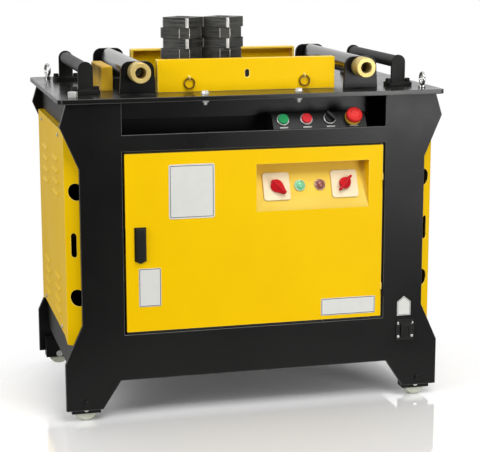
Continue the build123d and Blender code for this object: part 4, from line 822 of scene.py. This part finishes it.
DECK_Z = 822.0
DECK_UNDER_Z = 810.0
NUT_UNDER_Z = 801.0
BEAM_BOLT_X = 122.5
BEAM_BOLT_Y = 252.0
beam_places = [(side * BEAM_BOLT_X, end * BEAM_BOLT_Y) for side in BOTH for end in BOTH]
beam_heads = [(x, y, DECK_Z, UP) for x, y in beam_places]
make_fasteners("beam_bolt_heads", HEX, beam_heads, radius=9.4, height=6.6, washer=11.0, washer_height=1.4)
# The nuts and bolt ends under the deck are painted paler, as painted light in the deck's shade.
beam_nuts = [(x, y, DECK_UNDER_Z, DOWN) for x, y in beam_places]
make_fasteners("beam_bolt_nuts", HEX, beam_nuts, radius=9.4, height=8.0, washer=10.8, washer_height=1.4,
               finish="nut_zinc_painted_light")
beam_ends = [(x, y, NUT_UNDER_Z, DOWN) for x, y in beam_places]
make_fasteners("beam_bolt_ends", ROUND, beam_ends, radius=5.0, height=7.0, washer=5.1, washer_height=0.4,
               finish="nut_zinc_painted_light")

SIDE_PANEL_X = 484.0
PANEL_SCREW_Y = (-167.0, 170.0)
PANEL_SCREW_Z = (222.0, 720.0)
panel_screws = [
    (side * SIDE_PANEL_X, y, z, SIDEWAYS[side])
    for side in BOTH for y in PANEL_SCREW_Y for z in PANEL_SCREW_Z
]
make_fasteners("side_panel_screws", ROUND, panel_screws, radius=4.6, height=2.8, washer=6.0)

REAR_PANEL_Y = 297.0
UPRIGHT_ROW_X = 349.5
UPRIGHT_ROW_Z = (230.0, 342.0, 455.0, 568.0, 680.0)
LEVEL_ROW_X = (-175.0, 0.0, 175.0)
LEVEL_ROW_Z = (216.0, 694.0)
upright_rows = [(side * UPRIGHT_ROW_X, z) for side in BOTH for z in UPRIGHT_ROW_Z]
level_rows = [(x, z) for x in LEVEL_ROW_X for z in LEVEL_ROW_Z]
rear_screws = [(x, REAR_PANEL_Y, z, LENGTHWAYS[1]) for x, z in upright_rows + level_rows]
make_fasteners("rear_panel_screws", ROUND, rear_screws, radius=4.6, height=2.8, washer=5.8)

LEG_BOLT_X = 443.5
LEG_BOLT_Z = 51.0
PLATE_Y = 295.0
fork_bolts = [
    (side * LEG_BOLT_X, end * PLATE_Y, LEG_BOLT_Z, LENGTHWAYS[end]) for side in BOTH for end in BOTH
]
make_fasteners("fork_bolts", ROUND, fork_bolts, radius=7.0, height=4.6, washer=8.6,
               finish="black_paint")

POST_X = 440.0
POST_Y = 267.0
POST_BOLT_Z = (321.0, 590.0)
post_bolts = [
    (side * POST_X, end * POST_Y, z, SIDEWAYS[side]) for side in BOTH for end in BOTH for z in POST_BOLT_Z
]
make_fasteners("post_bolts", HEX, post_bolts, radius=8.0, height=6.0, washer=10.0, washer_height=1.6)

INLET_X = 406.0
INLET_Y = -298.0
INLET_Z = 186.5
INLET_SCREW_X = 19.0
INLET_SCREW_Z = 18.0
inlet_screws = [
    (INLET_X + side * INLET_SCREW_X, INLET_Y, INLET_Z + row * INLET_SCREW_Z, LENGTHWAYS[-1])
    for side in BOTH for row in BOTH
]
make_fasteners("inlet_screws", ROUND, inlet_screws, radius=3.4, height=2.0, washer=3.8, washer_height=0.4)

# %% [markdown]
# ## Bare plates
#
# Machines of this kind carry a data plate, two notices on the door, a tag over the power inlet and small
# strips under the controls. Here they are bare: pale plates with a thin inked border. Each starts as one
# flat face. Two insets split it into a margin, an ink line and the middle, and the rim is then pulled back
# to the surface that carries the plate. A black plug over the slotted hole in the front beam, a dark sheet
# that is painted shade for the hole, and a plain cover in the slot are made alike.

# %% Plates on the door, the leg, the console and the beam
PLATE_T = 0.8
RIM_OF_PLATE = 0.25
WIDEST_RIM = 1.0
DOOR_FACE_Y = -294.0
CONSOLE_FOOT = (0, -285.0, 729.0)
CONSOLE_SLOPE = (0, 24.0, 36.0)
BEAM_SLOT_Y = -191.9
SLOT_WALL_Y = -202.0


def rounded(x0, x1, y0, y1, corner, steps=5):
    """Points of a rectangle with rounded corners, counter-clockwise."""
    points = []
    for centre_x, centre_y, start in (
        (x1 - corner, y1 - corner, 0), (x0 + corner, y1 - corner, 90),
        (x0 + corner, y0 + corner, 180), (x1 - corner, y0 + corner, 270),
    ):
        for step in range(steps + 1):
            angle = math.radians(start + 90 * step / steps)
            points.append((centre_x + corner * math.cos(angle), centre_y + corner * math.sin(angle)))
    return points


def carrier_frame(origin, up=UP):
    """A frame in millimetres on a surface, looking out of it, with X across the machine."""
    x = Vector((1, 0, 0))
    y = Vector(up).normalized()
    z = x.cross(y)
    return Matrix.Translation(Vector(origin) * MM) @ Matrix((x, y, z)).transposed().to_4x4()


def make_plate(name, body, carrier, outline, margin, ink=0.0, thickness=PLATE_T, finish="plate_white",
               slot="cream_plastic"):
    """A thin plate on a carrier frame: its outline in millimetres, its border line inked."""
    builder = bmesh.new()
    corners = [builder.verts.new((x * MM, y * MM, thickness * MM)) for x, y in outline]
    middle = builder.faces.new(corners)
    middle.normal_update()
    for width, slot_index in ((margin, FIRST_SLOT), (ink, SECOND_SLOT)):
        if width:
            ring = bmesh.ops.inset_region(
                builder, faces=[middle], thickness=width * MM, use_boundary=True, use_even_offset=True)
            for face in ring["faces"]:
                face.material_index = slot_index
    rim = [edge for edge in builder.edges if edge.is_boundary]
    walls = bmesh.ops.extrude_edge_only(builder, edges=rim)
    low = [part for part in walls["geom"] if isinstance(part, bmesh.types.BMVert)]
    bmesh.ops.translate(builder, verts=low, vec=(0, 0, -thickness * MM))
    bmesh.ops.contextual_create(builder, geom=[edge for edge in builder.edges if edge.is_boundary])
    bmesh.ops.recalc_face_normals(builder, faces=builder.faces)
    bmesh.ops.transform(builder, matrix=carrier, verts=builder.verts)
    mesh = bpy.data.meshes.new(name)
    mesh.materials.append(FINISHES[finish])
    mesh.materials.append(FINISHES["plate_ink"])
    builder.to_mesh(mesh)
    builder.free()
    piece = bpy.data.objects.new(name, mesh)
    bpy.context.scene.collection.objects.link(piece)
    round_edges(piece, min(thickness * RIM_OF_PLATE, WIDEST_RIM))
    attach(piece, body)
    print(name, "faces", len(piece.data.polygons))


DOOR_PLATES = {
    "data_plate": {"outline": rounded(-227, -109, 513.5, 652, corner=6), "margin": 3.4},
    "latch_notice": {"outline": rounded(-306, -249, 292, 391, corner=4), "margin": 1.4},
    "corner_notice": {"outline": rounded(173.5, 321.5, 238, 284, corner=4), "margin": 1.4},
}
on_door = carrier_frame((0, DOOR_FACE_Y, 0))
for plate_name, plate_setting in DOOR_PLATES.items():
    make_plate(plate_name, "door", on_door, ink=1.6, **plate_setting)
tag_outline = [(383.5, 225), (421, 225), (421, 262), (402.2, 277), (383.5, 262)]
make_plate("inlet_tag", "frame", carrier_frame((0, -PLATE_Y, 0)), tag_outline, margin=1.6, ink=1.2)
CONTROL_PLACES = (75.0, 137.0, 199.0, 261.0)
STRIP_HALF = 11.0
on_console = carrier_frame(CONSOLE_FOOT, up=CONSOLE_SLOPE)
for number, control_x in enumerate(CONTROL_PLACES):
    strip = rounded(control_x - STRIP_HALF, control_x + STRIP_HALF, 3.0, 7.0, corner=1.0, steps=3)
    make_plate(f"control_strip_{number + 1}", "frame", on_console, strip, margin=0.5, thickness=0.5,
               finish="strip_grey")
# The black plug is painted shade: it makes the slotted hole in the front beam read dark.
shade_plug_outline = rounded(-8.5, 8.5, 852, 880, corner=8.4)
make_plate("beam_slot_shade_plug", "frame", carrier_frame((0, BEAM_SLOT_Y, 0)), shade_plug_outline, margin=2.0,
           thickness=2.0, finish="black_plastic", slot="black_plastic")
cover_strip = rounded(-439, 439, 757, 809, corner=2)
make_plate("slot_cover_strip", "frame", carrier_frame((0, SLOT_WALL_Y, 0)), cover_strip, margin=1.0,
           thickness=3.0, finish="black_paint", slot="black_paint")

# %% [markdown]
# ## Weld beads and cables
#
# The roller brackets and the rail posts are welded to the plates they stand on, and cables run from the
# electrical box to the motor and up to the console. A bead and a cable both follow a path, so one Geometry
# Nodes tree makes them: edges become smooth curves, the curves are resampled, and a round profile runs
# along them. On a bead its radius swells and shrinks with the ripples that a welder leaves.

# %% Tree for round runs, the beads and the cables
RUN_STEPS = 120
RUN_SIDES = 10
RIPPLE_PITCH = 4.0 * MM
WELD_RIPPLE = 0.14


def tree_run():
    """A round run along every path of edges, with ripples if asked for."""
    tree, given, result = new_tree(
        "GeometryNodeTree", "round run",
        {"Geometry": "Geometry", "Run Radius": "Float", "Ripple": "Float", "Material": "Material"},
        {"Geometry": "Geometry"},
    )
    line = add_node(tree, "GeometryNodeMeshToCurve", Mesh=given["Geometry"])
    smooth = add_node(tree, "GeometryNodeCurveSplineType", spline_type="CATMULL_ROM",
                      Curve=line.outputs["Curve"])
    fine = add_node(tree, "GeometryNodeResampleCurve", Curve=smooth.outputs["Curve"], Count=RUN_STEPS)
    along = add_node(tree, "GeometryNodeSplineParameter").outputs["Length"]
    turns = add_math(tree, "DIVIDE", along, RIPPLE_PITCH)
    wave = add_math(tree, "SINE", add_math(tree, "MULTIPLY", turns, FULL_TURN))
    swell = add_math(tree, "MULTIPLY_ADD", wave, given["Ripple"], 1.0)
    sized = add_node(tree, "GeometryNodeSetCurveRadius", Curve=fine.outputs["Curve"], Radius=swell)
    ring = add_node(tree, "GeometryNodeCurvePrimitiveCircle", Resolution=RUN_SIDES,
                    Radius=given["Run Radius"])
    tube = add_node(tree, "GeometryNodeCurveToMesh", Curve=sized.outputs["Curve"],
                    Profile_Curve=ring.outputs["Curve"], Fill_Caps=True)
    real = add_node(tree, "GeometryNodeRealizeInstances", Geometry=tube.outputs["Mesh"])
    paint = add_node(tree, "GeometryNodeSetMaterial", Geometry=real.outputs["Geometry"],
                     Material=given["Material"])
    fill(tree, result["Geometry"], paint.outputs["Geometry"])
    return tree


RUNS = tree_run()


def make_runs(name, finish, runs, radius, ripple):
    """Round runs along paths of points in millimetres, on the frame."""
    points = []
    edges = []
    for run in runs:
        edges += [(len(points) + step, len(points) + step + 1) for step in range(len(run) - 1)]
        points += [tuple(part * MM for part in point) for point in run]
    mesh = bpy.data.meshes.new(name)
    mesh.from_pydata(points, edges, [])
    piece = bpy.data.objects.new(name, mesh)
    bpy.context.scene.collection.objects.link(piece)
    use_tree(piece, RUNS, {"Run Radius": radius * MM, "Ripple": ripple, "Material": FINISHES[finish]})
    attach(piece, "frame")
    print(name, len(runs), "faces", len(piece.data.polygons))


BRACKET_X = (-289.5, 295.5)
BRACKET_FACES_Y = (219.6, 230.4)
BRACKET_HALF = 44.0
bracket_runs = [
    [(x + step * BRACKET_HALF, side * y, DECK_Z) for step in BOTH]
    for x in BRACKET_X for side in BOTH for y in BRACKET_FACES_Y
]
make_runs("bracket_welds", "black_paint", bracket_runs, radius=3.2, ripple=WELD_RIPPLE)
POST_FACES_Y = (179.8, 188.2)
POST_HALF = 17.0
post_runs = [
    [(side * RAIL_FOOT_X + step * POST_HALF, end * y, RAIL_FOOT_Z) for step in BOTH]
    for side in BOTH for end in BOTH for y in POST_FACES_Y
]
make_runs("rail_post_welds", "rail_paint", post_runs, radius=2.6, ripple=WELD_RIPPLE)
motor_cable = [(-334, -60, 170), (-300, -60, 168), (-240, -66, 124), (-150, -70, 118), (-92, -66, 150),
               (-60, -52, 268), (-30, -34, 318), (-14, -30, 318)]
console_cable = [(-380, -70, 423), (-380, -70, 470), (-390, -120, 580), (-384, -184, 690),
                 (-340, -191, 734), (-180, -191, 730), (-40, -191, 733), (40, -191, 740), (66, -197, 745),
                 (70, -200.5, 745)]
make_runs("cables", "belt_rubber", [motor_cable, console_cable], radius=5.0, ripple=0.0)

# %% [markdown]
# ## Inside the cabinet
#
# With the door open one looks at the drive. The motor has a terminal box for its cable and bolts in its
# foot, the reducer has a bolted cover over its wheel, and its hanger plate is bolted up to the deck beams.
# The electrical box has lid screws, and a gland holds each cable where it leaves the box. The plates and
# the fasteners come from the functions above.

# %% Covers, bolts and glands of the drive
MOTOR_TOP_Z = 288.0
MOTOR_FOOT_Z = 117.0
HANGER_Z = 748.0
TERMINAL_BOX_T = 46.0
COVER = Vector((-15.0, -120.0, 648.0))
COVER_R = 78.0
COVER_CORNER_R = 77.9
COVER_T = 9.0
COVER_BOLTS = 6
BOLT_RING_R = 66.0
FIRST_BOLT_TURN = 30
BOX_FACE_X = -330.0

make_plate("motor_terminal_box", "frame", carrier_frame((0, 0, MOTOR_TOP_Z), up=(0, 1, 0)),
           rounded(-14, 56, -36, 36, corner=7), margin=4.0, thickness=TERMINAL_BOX_T,
           finish="motor_alloy", slot="motor_alloy")
cover_outline = rounded(-COVER_R, COVER_R, -COVER_R, COVER_R, corner=COVER_CORNER_R, steps=14)
make_plate("reducer_cover", "frame", carrier_frame(COVER), cover_outline, margin=22.0, thickness=COVER_T,
           finish="cast_housing", slot="cast_housing")
cover_bolts = []
for step in range(COVER_BOLTS):
    angle = math.radians(FIRST_BOLT_TURN + 360 / COVER_BOLTS * step)
    bolt_x = COVER.x + BOLT_RING_R * math.cos(angle)
    bolt_z = COVER.z + BOLT_RING_R * math.sin(angle)
    cover_bolts.append((bolt_x, COVER.y - COVER_T, bolt_z, LENGTHWAYS[-1]))
make_fasteners("reducer_cover_bolts", HEX, cover_bolts, radius=6.5, height=5.0, washer=7.5)
lid_screws = [(x, y, MOTOR_TOP_Z + TERMINAL_BOX_T, UP) for x in (-6.0, 48.0) for y in (-28.0, 28.0)]
lid_screws += [(BOX_FACE_X, y, z, SIDEWAYS[1]) for y in (-124.0, 124.0) for z in (124.0, 410.0)]
make_fasteners("lid_screws", ROUND, lid_screws, radius=4.0, height=2.4, washer=5.0)
drive_bolts = [(x, y, MOTOR_FOOT_Z, UP) for x in (-60.0, 90.0) for y in (-58.0, 58.0)]
drive_bolts += [(x, y, HANGER_Z, DOWN) for x in (-120.0, 90.0) for y in (-175.0, 175.0)]
make_fasteners("drive_bolts", HEX, drive_bolts, radius=9.0, height=7.0, washer=11.0, washer_height=1.6)
glands = [
    (BOX_FACE_X, -60.0, 170.0, SIDEWAYS[1]),
    (-380.0, -70.0, 427.0, UP),
    (-14.0, -30.0, 318.0, SIDEWAYS[-1]),
]
make_fasteners("cable_glands", HEX, glands, radius=10.0, height=14.0, washer=12.0, washer_height=3.0,
               finish="black_plastic")
